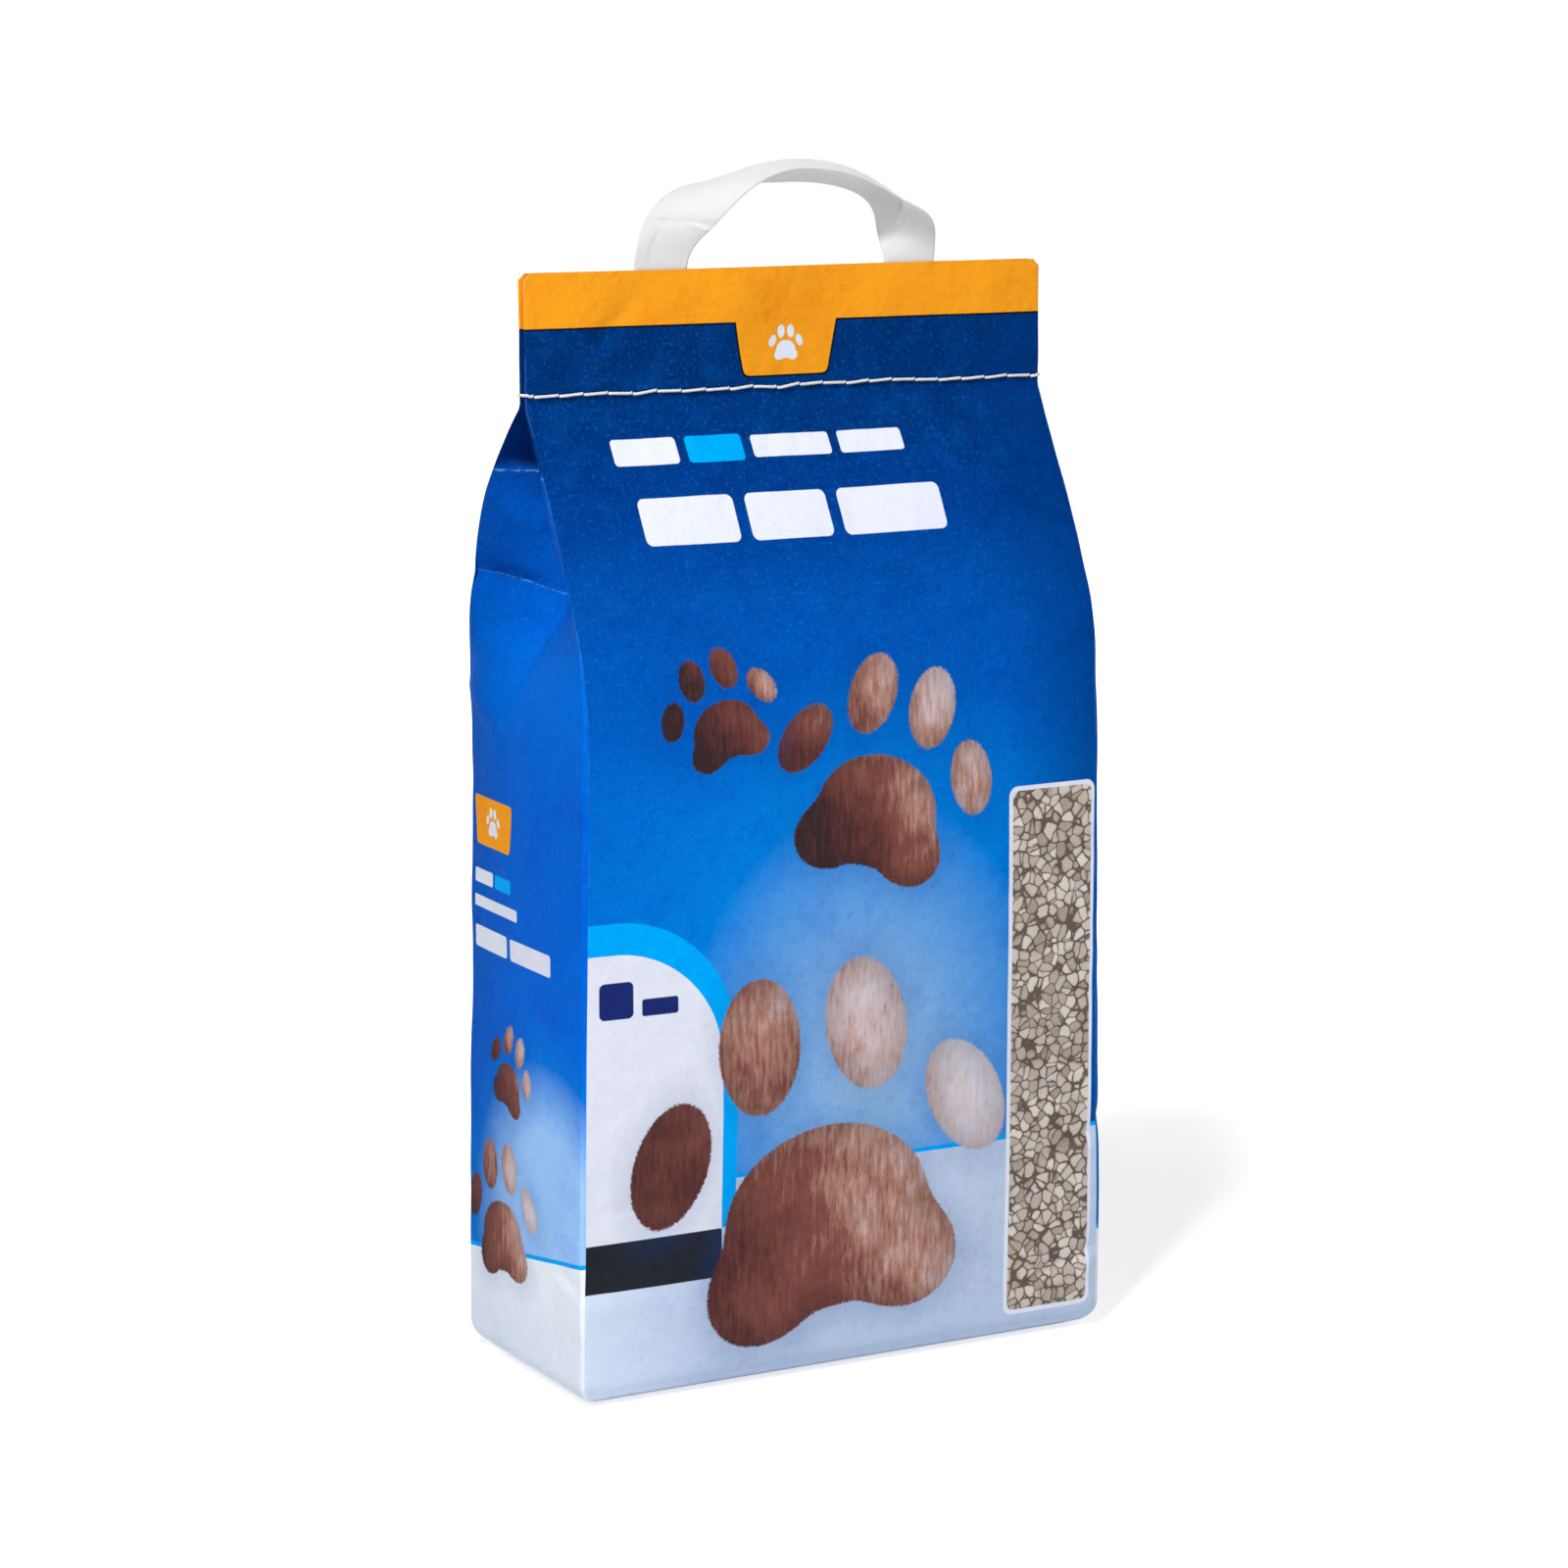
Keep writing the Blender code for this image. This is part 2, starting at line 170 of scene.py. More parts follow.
# Relief of the paper: soft waves by their lift and lumps per metre, the puckers at the seam, what
# lies pressed flat, then creases as (start, end, lift, width) and lumps as (middle, size, lift),
# both in millimetres from the middle of a panel and above the floor
BROAD_WAVES = (0.0009, 22.0)
FINE_WAVES = (0.00022, 70.0)
FINE_WAVE_SHIFT = (7, 3, 1)
PUCKER_LIFT = 0.00035
PUCKER_LENGTH = 0.0206
PUCKER_DROP = 0.006
PUCKER_FADE = 0.008
FLAP_PRESS = 0.3
FLAP_PRESS_REACH = 0.02
SEAM_PRESS = 0.8
SEAM_PRESS_REACH = 0.005
CREASE_END = 0.35
CREASE_SHARPNESS = 1.3
CREASES = {
    FRONT: [
        ((-67, 413), (-86, 392), -1.3, 4),
        ((-92, 404), (-108, 385), 0.7, 5),
        ((78, 414), (92, 388), -1.1, 4.5),
        ((32, 400), (46, 384), 0.8, 4.5),
        ((-50, 402), (-38, 386), 0.8, 5),
        ((-60, 366), (-46, 340), 0.7, 6),
        ((52, 368), (66, 345), 0.7, 6),
        ((-10, 300), (60, 292), 0.6, 7),
        ((-105, 262), (-40, 250), 0.5, 7),
        ((-112, 76), (-70, 79), -0.7, 4),
        ((-112, 40), (-60, 36), 0.6, 5),
        ((114, 82), (84, 71), -1.6, 2.8),
        ((112, 75.5), (88, 67), 0.8, 2.6),
        ((114, 34), (83, 23), -1.6, 2.8),
        ((112, 27.5), (88, 19), 0.8, 2.6),
        ((-115, 47), (-104, 44), -0.8, 3),
    ],
    LEFT: [
        ((-50, 309), (-4, 303), -3.4, 4.5),
        ((-38, 289), (4, 298), -3, 3.6),
        ((-46, 341), (-20, 326), 1.2, 4.5),
        ((-30, 336), (-12, 345), -0.9, 3),
        ((20, 304), (-23.4, 251.7), 1.4, 5),
        ((-49, 265), (-23.4, 251.7), 1, 5),
        ((28, 50), (50, 46), -1, 3),
    ],
    RIGHT: [
        ((4, 303), (50, 309), -2.8, 4.5),
        ((-4, 298), (36, 289), -2.2, 3.6),
        ((-20, 304), (23.4, 251.7), 1.4, 5),
        ((49, 265), (23.4, 251.7), 1, 5),
        ((-50, 88), (-30, 80), -1, 3),
    ],
    BACK: [
        ((50, 300), (90, 270), -0.6, 5),
    ],
}
LUMPS = {
    FRONT: [
        ((-20, 411), (15, 13), 1.9),
        ((42, 410), (14, 14), 1.7),
        ((86, 406), (13, 15), 1.4),
        ((-88, 404), (13, 15), 1),
    ],
    LEFT: [
        ((-26, 332), (18, 10), 1.2),
    ],
    RIGHT: [
        ((26, 330), (18, 10), 1.2),
    ],
}

seam_height = SACK_HEIGHT - SEAM_DROP
hinge_height = seam_height - SEAM_TO_HINGE
mouth_half = (HANDLE_SPAN + STRAP_WIDTH) / 2 + FIT_GAP
leg_bottom = SACK_HEIGHT - LEG_TUCK


def put_in_scene(name, data):
    thing = bpy.data.objects.new(name, data)
    bpy.context.collection.objects.link(thing)
    return thing


def new_mesh(name, points, faces):
    mesh = bpy.data.meshes.new(name)
    mesh.from_pydata(points, [], faces)
    return mesh


def grid_faces(rows, columns, closed):
    """Faces between rows of points, each row an open line or a closed ring."""
    faces = []
    for row in range(rows - 1):
        low, high = row * columns, (row + 1) * columns
        for i in range(columns if closed else columns - 1):
            after = (i + 1) % columns
            faces.append((low + i, low + after, high + after, high + i))
    return faces


def smooth_step(low, high, value):
    share = min(1.0, max(0.0, (value - low) / (high - low)))
    return share * share * (3 - 2 * share)


def blend(first, second, share):
    return first + (second - first) * share


def soft_ramp(distance, softness):
    return (distance + sqrt(distance * distance + softness * softness)) / 2


def settled(x, y, z):
    """The gentle wave of the closed flap, shared by all that is sewn into it."""
    wave = FLAP_WAVE * smooth_step(hinge_height - SEAM_DROP, SACK_HEIGHT, z)
    return Vector((x, y + wave * sin(2 * pi * x / FLAP_WAVELENGTH), z))


def flap_half_thickness(x):
    share = (abs(x) - mouth_half) / (FOLD_WIDTH / 2 - mouth_half)
    share = min(1.0, max(0.0, share))
    return blend(FLAP_MIDDLE_THICKNESS, FLAP_EDGE_THICKNESS, share) / 2


def panel_reach(z, shoulder, power):
    edge = FLAP_EDGE_THICKNESS / 2
    if z >= hinge_height:
        return edge
    rise = soft_ramp(z - shoulder, SHOULDER_SOFTNESS)
    share = rise / soft_ramp(hinge_height - shoulder, SHOULDER_SOFTNESS)
    return edge + (SACK_DEPTH / 2 - edge) * (1 - min(1.0, share) ** power)


def panel_offset(x, z, fold_x):
    height = min(1.0, z / hinge_height)
    bulge = PANEL_BULGE * (1 - (x / fold_x) ** 2) * 4 * height * (1 - height)
    thinning = FLAP_EDGE_THICKNESS / 2 - flap_half_thickness(x)
    return bulge - thinning * smooth_step(hinge_height - SEAM_DROP / 2, hinge_height, z)


def fold_reach(z):
    return blend(SACK_WIDTH / 2, FOLD_WIDTH / 2, smooth_step(0, GUSSET_START, z))


def gusset_depth(z):
    """How far the side's middle crease is tucked in: a shallow tip, then the steep fold."""
    depth = TIP_SLOPE * soft_ramp(z - TIP_HEIGHT, TIP_SOFTNESS)
    depth += GUSSET_SLOPE * soft_ramp(z - GUSSET_START, GUSSET_SOFTNESS)
    return depth / (1 + (depth / GUSSET_TUCK) ** 4) ** 0.25


def gusset_skew(z):
    """The tip of the middle crease runs out towards the back."""
    share = min(1.0, max(0.0, (GUSSET_START - z) / (GUSSET_START - TIP_HEIGHT)))
    return GUSSET_SKEW * share * smooth_step(TIP_HEIGHT - SKEW_FADE, TIP_HEIGHT, z)


def gusset_bow(z, share):
    """The filling pushes the tucked paper out, in two swellings that meet in a slanting cross fold.

    The share runs from 0 at the fold line to 1 at the middle crease.
    """
    pinch = PINCH_HEIGHT - PINCH_SLANT * (share - 1 / 2)
    if z < pinch:
        swelling = LOWER_BOW * sin(pi * max(0.0, (z - TIP_HEIGHT) / (pinch - TIP_HEIGHT)))
    else:
        rise = min(1.0, (z - pinch) / (CREASE_HEIGHT - pinch))
        swelling = UPPER_BOW * (1 - (1 - rise) ** 3)
    above = smooth_step(CREASE_HEIGHT, CREASE_HEIGHT + CREASE_WIDTH, z)
    return swelling * (1 - above) * 4 * share * (1 - share)


def side_bulge(z):
    height = min(1.0, z / CREASE_HEIGHT)
    return SIDE_BULGE * 4 * height * (1 - height)


def side_half(z, fold_x, gap, radius):
    """Half of a side, from the end of the panel round the fold and in to the middle crease.

    Pairs of the distance out from the sack's middle and the distance from the middle crease. The gap
    is how far apart the fold and the crease lie along the sack's depth.
    """
    depth = gusset_depth(z)
    centre_out = fold_x - radius
    centre_across = gap - radius
    last_turn = atan2(centre_across, -depth)
    points = []
    for i in range(FOLD_SEGMENTS + 1):
        turn = last_turn * i / FOLD_SEGMENTS
        points.append((centre_out + radius * sin(turn), centre_across + radius * cos(turn)))
    start_out, start_across = points[-1]
    root_out = fold_x - depth
    for i in range(1, GUSSET_SEGMENTS + 1):
        share = i / GUSSET_SEGMENTS
        bow = gusset_bow(z, share)
        bulge = side_bulge(z) * share * (2 - share)
        out = blend(start_out, root_out, share) + bow + bulge
        points.append((out, start_across * (1 - share)))
    return points


def sack_ring(z, inset=0.0, corner_cut=0.0):
    """The sack's outline at one height, anticlockwise seen from above."""
    front = -panel_reach(z, FRONT_SHOULDER, FRONT_LEAN_POWER) + inset
    back = panel_reach(z, BACK_SHOULDER, BACK_LEAN_POWER) - inset
    fold_x = fold_reach(z) - inset - corner_cut
    crease_y = (front + back) / 2 + gusset_skew(z)
    radius = blend(CORNER_RADIUS, FOLD_RADIUS, smooth_step(TIP_HEIGHT, PINCH_HEIGHT, z))
    front_half = side_half(z, fold_x, crease_y - front, radius)
    back_half = side_half(z, fold_x, back - crease_y, radius)
    panel_end = front_half[0][0]
    steps = range(FRONT_SEGMENTS + 1)
    across = [panel_end * (2 * i / FRONT_SEGMENTS - 1) for i in steps]
    ring = [(x, front - panel_offset(x, z, panel_end)) for x in across]
    ring += [(out, crease_y - along) for out, along in front_half[1:]]
    ring += [(out, crease_y + along) for out, along in reversed(back_half[1:-1])]
    ring += [(x, back + panel_offset(x, z, panel_end)) for x in reversed(across)]
    ring += [(-out, crease_y + along) for out, along in back_half[1:]]
    ring += [(-out, crease_y - along) for out, along in reversed(front_half[1:-1])]
    return [settled(x, y, z) for x, y in ring]


def sack_levels():
    floor = 2 * BASE_LAYER
    levels = []
    for i in range(BASE_STEPS):
        turn = radians(90) * i / BASE_STEPS
        levels.append((floor + BASE_RADIUS * (1 - cos(turn)), BASE_RADIUS * (1 - sin(turn)), 0.0))
    low = floor + BASE_RADIUS
    top = SACK_HEIGHT - FLAP_CORNER_CUT
    count = round((top - low) / BODY_STEP)
    for i in range(count + 1):
        levels.append((blend(low, top, i / count), 0.0, 0.0))
    levels.append((SACK_HEIGHT, 0.0, FLAP_CORNER_CUT))
    return levels


def panel_columns():
    """The first and last column of each panel, in the order that a ring passes them."""
    side_points = 2 * (FOLD_SEGMENTS + GUSSET_SEGMENTS)
    ends = [0]
    for points in (FRONT_SEGMENTS, side_points, FRONT_SEGMENTS, side_points):
        ends.append(ends[-1] + points)
    return list(zip(ends, ends[1:]))


def crease(across, height, start, end, lift, width):
    """A ridge (or a valley, where lift is below 0) along a line on the paper."""
    run = np.array(end) - np.array(start)
    along = ((across - start[0]) * run[0] + (height - start[1]) * run[1]) / (run @ run)
    along = np.clip(along, 0, 1)
    away = np.hypot(across - start[0] - along * run[0], height - start[1] - along * run[1])
    fade = CREASE_END + (1 - CREASE_END) * np.sin(pi * along) ** 0.5
    return lift * fade * np.exp(-(away / width) ** CREASE_SHARPNESS)


def lump(across, height, middle, size, lift):
    away = ((across - middle[0]) / size[0]) ** 2 + ((height - middle[1]) / size[1]) ** 2
    return lift * np.exp(-away)


def paper_relief(kinds, across, height, points):
    """How far each point of the skin stands out from the smooth shape."""
    relief = np.zeros(len(points))
    broad_lift, broad_scale = BROAD_WAVES
    fine_lift, fine_scale = FINE_WAVES
    for i, point in enumerate(points):
        broad = noise.noise(Vector(point) * broad_scale)
        fine = noise.noise(Vector(point) * fine_scale + Vector(FINE_WAVE_SHIFT))
        relief[i] = broad_lift * broad + fine_lift * fine
    for shape, panels in ((crease, CREASES), (lump, LUMPS)):
        for kind, rows in panels.items():
            on_panel = kinds == kind
            for row in rows:
                sizes = [np.multiply(value, MM) for value in row]
                relief[on_panel] += shape(across[on_panel], height[on_panel], *sizes)
    on_panel = (kinds == FRONT) | (kinds == BACK)
    from_seam = np.abs(height - seam_height)
    pucker = np.sin(across * 2 * pi / PUCKER_LENGTH + 9 * np.sin(across * 31))
    relief += on_panel * PUCKER_LIFT * pucker * np.exp(-np.abs(from_seam - PUCKER_DROP) / PUCKER_FADE)
    flat_foot = np.clip((height - 2 * BASE_LAYER) / (2 * BASE_RADIUS), 0, 1)
    at_flap = np.clip((height - hinge_height) / FLAP_PRESS_REACH + 1, 0, 1)
    at_seam = np.exp(-(from_seam / SEAM_PRESS_REACH) ** 2)
    relief *= flat_foot * (1 - FLAP_PRESS * at_flap) * (1 - SEAM_PRESS * at_seam)
    by_strap = at_flap * (np.abs(across) < mouth_half)
    return np.where(by_strap > 0, np.maximum(relief, -FIT_GAP * by_strap), relief)


def make_skin():
    """The paper from foot to flap, with its print's places, its relief and a material for each panel."""
    levels = sack_levels()
    heights = np.array([level[0] for level in levels])
    rings = np.array([sack_ring(*level) for level in levels])
    panels = panel_columns()
    count = panels[-1][1]
    points = rings.reshape(-1, 3)
    rows, columns = np.divmod(np.arange((len(rings) - 1) * count), count)
    following = (columns + 1) % count
    corner_rows = np.stack([rows, rows, rows + 1, rows + 1], 1)
    corner_columns = np.stack([columns, following, following, columns], 1)
    faces = (corner_rows * count + corner_columns).tolist()
    faces.append(tuple(reversed(range(count))))
    mesh = new_mesh("sack_skin", points.tolist(), faces)

    kinds = np.zeros(count, int)
    here, after, ends = np.zeros((3, len(rings), count))
    for kind, (first, last) in enumerate(panels):
        steps = rings[:, [i % count for i in range(first, last + 1)]]
        run = np.linalg.norm(np.diff(steps, axis=1), axis=2).cumsum(axis=1)
        run = np.hstack([np.zeros((len(rings), 1)), run])
        half = rings[:, FRONT_SEGMENTS, 0] if kind in (FRONT, BACK) else SACK_DEPTH / 2
        half = half * np.ones(len(rings))
        place = (2 * run / run[:, -1:] - 1) * half[:, None]
        kinds[first:last] = kind
        here[:, first:last] = place[:, :-1]
        after[:, first:last] = place[:, 1:]
        ends[:, first:last] = half[:, None]

    normals = np.zeros(3 * len(points), np.float32)
    mesh.vertices.foreach_get("normal", normals)
    relief = paper_relief(np.tile(kinds, len(rings)), here.ravel(), np.repeat(heights, count), points)
    moved = points + normals.reshape(-1, 3) * relief[:, None]
    mesh.vertices.foreach_set("co", moved.ravel())

    own = columns[:, None]
    across = np.where([[True, False, False, True]], here[corner_rows, own], after[corner_rows, own])
    add_places(mesh, "print", across, heights[corner_rows])
    add_places(mesh, "edges", ends[corner_rows, own] - np.abs(across), np.abs(across))

    slots = np.full(len(mesh.polygons), BASE_SLOT, np.int32)
    slots[:len(rows)] = np.array(PANEL_SLOTS)[kinds[columns]]
    mesh.polygons.foreach_set("material_index", slots)
    mesh.shade_smooth()
    mesh.update()
    mesh.set_sharp_from_angle(angle=radians(SHARP_ANGLE))
    return put_in_scene("sack_skin", mesh)


def add_places(mesh, name, first, second):
    """A UV map whose numbers are metres on the paper, so that the print has its true size."""
    layer = mesh.uv_layers.new(name=name)
    places = np.zeros((len(mesh.loops), 2), np.float32)
    places[:first.size, 0] = first.ravel()
    places[:first.size, 1] = second.ravel()
    layer.data.foreach_set("uv", places.ravel())


def close_mouth(skin):
    """Fills the flap's top, apart from the slit that the strap goes down."""
    bm = bmesh.new()
    bm.from_mesh(skin.data)
    rim = [edge for edge in bm.edges if edge.is_boundary]
    across = [blend(-mouth_half, mouth_half, i / SLIT_COLUMNS) for i in range(SLIT_COLUMNS + 1)]
    slit = [settled(x, -SLIT_THICKNESS / 2, SACK_HEIGHT) for x in across]
    slit += [settled(x, SLIT_THICKNESS / 2, SACK_HEIGHT) for x in reversed(across)]
    upper = [bm.verts.new(point) for point in slit]
    lower = [bm.verts.new(point - Vector((0, 0, SLIT_DEPTH))) for point in slit]
    count = len(slit)
    edges = [bm.edges.new((upper[i], upper[(i + 1) % count])) for i in range(count)]
    filled = bmesh.ops.triangle_fill(bm, use_beauty=True, edges=rim + edges)
    top = [face for face in filled["geom"] if isinstance(face, bmesh.types.BMFace)]
    for i in range(count):
        following = (i + 1) % count
        top.append(bm.faces.new((upper[i], lower[i], lower[following], upper[following])))
    top.append(bm.faces.new(lower))
    for face in top:
        face.material_index = CUT_EDGE_SLOT
        face.smooth = False
    bmesh.ops.recalc_face_normals(bm, faces=bm.faces)
    add_base_flaps(bm)
    bm.to_mesh(skin.data)
    bm.free()


def add_base_flaps(bm):
    """The block bottom's two flaps, one lapping over the other."""
    half_width = fold_reach(0) - BASE_RADIUS - CORNER_RADIUS / 2
    half_depth = SACK_DEPTH / 2 - BASE_RADIUS - CORNER_RADIUS / 2
    reach = half_depth + BASE_OVERLAP
    for side, bottom in ((-1, 0.0), (1, BASE_LAYER)):
        outline = [
            (-half_width, side * half_depth),
            (half_width, side * half_depth),
            (half_width - reach, -side * BASE_OVERLAP),
            (-half_width + reach, -side * BASE_OVERLAP),
        ]
        rows = [[bm.verts.new((x, y, z)) for x, y in outline] for z in (bottom, 3 * BASE_LAYER)]
        flap = [bm.faces.new(rows[0]), bm.faces.new(rows[1])]
        for i in range(4):
            after = (i + 1) % 4
            flap.append(bm.faces.new((rows[0][i], rows[0][after], rows[1][after], rows[1][i])))
        for face in flap:
            face.material_index = BASE_SLOT
        bmesh.ops.recalc_face_normals(bm, faces=flap)


def srgb(red, green, blue):
    """A colour as the eye numbers it, 0 to 255, in the linear numbers that a shader takes."""
    values = [value / 255 for value in (red, green, blue)]
    linear = [v / 12.92 if v <= 0.04045 else ((v + 0.055) / 1.055) ** 2.4 for v in values]
    return (*linear, 1.0)


# Inks of the print, one of them partly painted shade
ORANGE = srgb(243, 159, 33)
INK_LINE = srgb(3, 7, 18)
NAVY_MARK = srgb(30, 45, 110)
WHITE_PRINT = srgb(226, 230, 243)
CYAN = srgb(0, 170, 250)
BRIGHT_BLUE = srgb(0, 138, 226)
CLOUD_BLUE = srgb(0, 128, 240)
FLECK_BLUE = srgb(60, 150, 238)
FRONT_GLOW = srgb(150, 186, 222)
SIDE_GLOW = srgb(160, 202, 252)
# Darkens the front towards its right edge: partly the print's own dark edge, partly painted shade of the
# light falling off to the right
FRONT_EDGE_INK_AND_SHADE = srgb(0, 52, 120)
SIDE_DUSK = srgb(0, 46, 120)
PALE_FLOOR = srgb(190, 206, 231)
SIDE_FLOOR = srgb(240, 246, 255)
FLOOR_SHADE = srgb(84, 122, 178)
FLOOR_LIGHT = srgb(224, 236, 254)
DARK_STRIP = srgb(40, 43, 50)
PLAIN_LINES = srgb(96, 108, 150)
PAW_HALO = srgb(8, 70, 150)
DARK_FUR = srgb(58, 42, 44)
FUR_TONES = [
    (0.00, DARK_FUR),
    (0.16, srgb(98, 56, 54)),
    (0.42, srgb(134, 82, 72)),
    (0.58, srgb(182, 138, 122)),
    (0.72, srgb(206, 184, 184)),
    (0.95, srgb(214, 212, 222)),
]
STONE_TONES = [
    (0.15, srgb(176, 164, 153)),
    (0.50, srgb(208, 197, 187)),
    (0.85, srgb(236, 228, 218)),
]
STONE_RIM = srgb(140, 122, 104)
STONE_GAP = srgb(106, 91, 80)
STONE_GRAIN = srgb(120, 108, 98)

# How the blues change up the pack, by the share of its height. The side's blues also hold painted light
# and shade of its folds.
FRONT_BLUES = [
    (0.00, srgb(0, 118, 212)),
    (0.40, srgb(0, 116, 214)),
    (0.54, srgb(0, 108, 206)),
    (0.60, srgb(0, 93, 191)),
    (0.66, srgb(0, 85, 180)),
    (0.72, srgb(0, 76, 163)),
    (0.785, srgb(0, 59, 140)),
    (0.86, srgb(0, 50, 118)),
    (0.91, srgb(0, 49, 114)),
    (1.00, srgb(0, 45, 102)),
]
SIDE_BLUES_AND_PAINTED_LIGHT = [
    (0.00, srgb(0, 150, 240)),
    (0.16, srgb(0, 128, 234)),
    (0.25, srgb(0, 102, 218)),
    (0.54, srgb(0, 96, 206)),
    # Lighter at 0.64: painted light on the sloping facet below the side's pinch
    (0.64, srgb(0, 106, 214)),
    (0.72, srgb(0, 88, 188)),
    (0.80, srgb(0, 86, 186)),
    (0.8255, srgb(0, 82, 180)),
    # From 0.8285, at the crease height: the print's navy top, with painted shade of the tucked pocket
    # above the crease
    (0.8285, srgb(0, 42, 108)),
    (0.91, srgb(0, 40, 100)),
    (1.00, srgb(0, 40, 96)),
]

# Wear and mottling of the coated paper
MOTTLE_LIGHT = srgb(110, 170, 235)
MOTTLE_DARK = srgb(20, 30, 60)
MOTTLE_CLOUD = srgb(70, 80, 100)
RUBBED_FOLD = srgb(90, 150, 220)
RUBBED_CREASE = srgb(150, 180, 226)
NEEDLE_HOLE = srgb(2, 8, 28)
PAPER_ROUGHNESS = 0.5
PAPER_SHINE = 0.01
BASE_COLOUR = srgb(168, 184, 210)
CUT_EDGE_COLOUR = srgb(240, 170, 60)

# Thread and strap
THREAD_SHADE = srgb(206, 204, 196)
THREAD_WHITE = srgb(244, 243, 238)
THREAD_ROUGHNESS = 0.8
STRAP_SHADE = srgb(235, 236, 237)
STRAP_WHITE = srgb(246, 246, 247)
STRAP_ROUGHNESS = 0.55
STRAP_GLOW_THROUGH = 0.62
STRAP_GLOW_REACH = 0.02
CLOTH_SHINE = 0.15

# Layout of the print, in metres from the middle of a panel and above the floor
PRINT_SOFTNESS = 0.0003
HORIZON_LINE = 0.0018
BAND_EDGE = 0.4035
BAND_LINE = 0.0007
TAB_MIDDLE = -0.0012
TAB_BOTTOM = 0.3828
TAB_HALF = 0.0185
SIDE_TAB_PLACE = (-0.027, 0.2125)
SIDE_TAB_HALF = (0.0155, 0.0095)
STRIP_TOP = 0.064
LINE_PITCH = 0.005
PEBBLES_PER_METRE = 232
PEBBLE_WARP = 0.0035

# Plain rounded bars, in millimetres: left, right, middle height, thickness and ink
HEADLINE = [
    (-81, -54, 357, 9.5, WHITE_PRINT),
    (-50, -26, 357, 9.5, CYAN),
    (-22, 12, 357, 8, WHITE_PRINT),
    (16, 44, 357, 8, WHITE_PRINT),
    (-76, -36, 332, 17, WHITE_PRINT),
    (-31, 4, 332, 17, WHITE_PRINT),
    (9, 54, 332, 17, WHITE_PRINT),
]
FIELD_BARS = [
    (-107, -93, 157, 14, NAVY_MARK),
    (-89.5, -74.5, 153.5, 6.5, NAVY_MARK),
]
SIDE_BARS = [
    (-44, -27, 190.5, 5.5, WHITE_PRINT),
    (-25, -10, 190.5, 5.5, CYAN),
    (-44, -4, 180.5, 4.5, WHITE_PRINT),
    (-44, -14, 166.5, 8.5, WHITE_PRINT),
    (-11, 24, 166.5, 8.5, WHITE_PRINT),
]
PANEL_BARS = [
    (-80, -20, 278, 6, NAVY_MARK),
    (6, 52, 278, 6, NAVY_MARK),
]


def add_node(tree, kind, inputs=None, **settings):
    """A shader node with its settings, and with fields, outputs or plain values in its inputs."""
    node = tree.nodes.new("ShaderNode" + kind)
    for name, value in settings.items():
        setattr(node, name, value)
    for name, value in (inputs or {}).items():
        if isinstance(value, Field):
            value = value.socket
        if isinstance(value, bpy.types.NodeSocket):
            tree.links.new(value, node.inputs[name])
        else:
            node.inputs[name].default_value = value
    return node


class Field:
    """A number that varies over a surface, with arithmetic that builds shader nodes."""

    def __init__(self, tree, socket):
        self.tree = tree
        self.socket = socket

    def math(self, operation, *others, clamp=False):
        inputs = dict(enumerate((self, *others)))
        node = add_node(self.tree, "Math", inputs, operation=operation, use_clamp=clamp)
        return Field(self.tree, node.outputs[0])

    def __add__(self, other):
        return self.math("ADD", other)

    def __sub__(self, other):
        return self.math("SUBTRACT", other)

    def __mul__(self, other):
        return self.math("MULTIPLY", other)

    def __truediv__(self, other):
        return self.math("DIVIDE", other)

    def size(self):
        return self.math("ABSOLUTE")

    def most(self, other):
        return self.math("MAXIMUM", other)

    def least(self, other):
        return self.math("MINIMUM", other)

    def taken_from(self, whole):
        return self.math("MULTIPLY_ADD", -1.0, whole)

    def scaled(self, factor, offset=0.0):
        """The number times a factor plus an offset, kept from 0 to 1."""
        return self.math("MULTIPLY_ADD", factor, offset, clamp=True)

    def inside(self, softness):
        """1 where the number is below 0, 0 where it is above, over the given width."""
        return self.scaled(-1.0 / softness, 0.5)


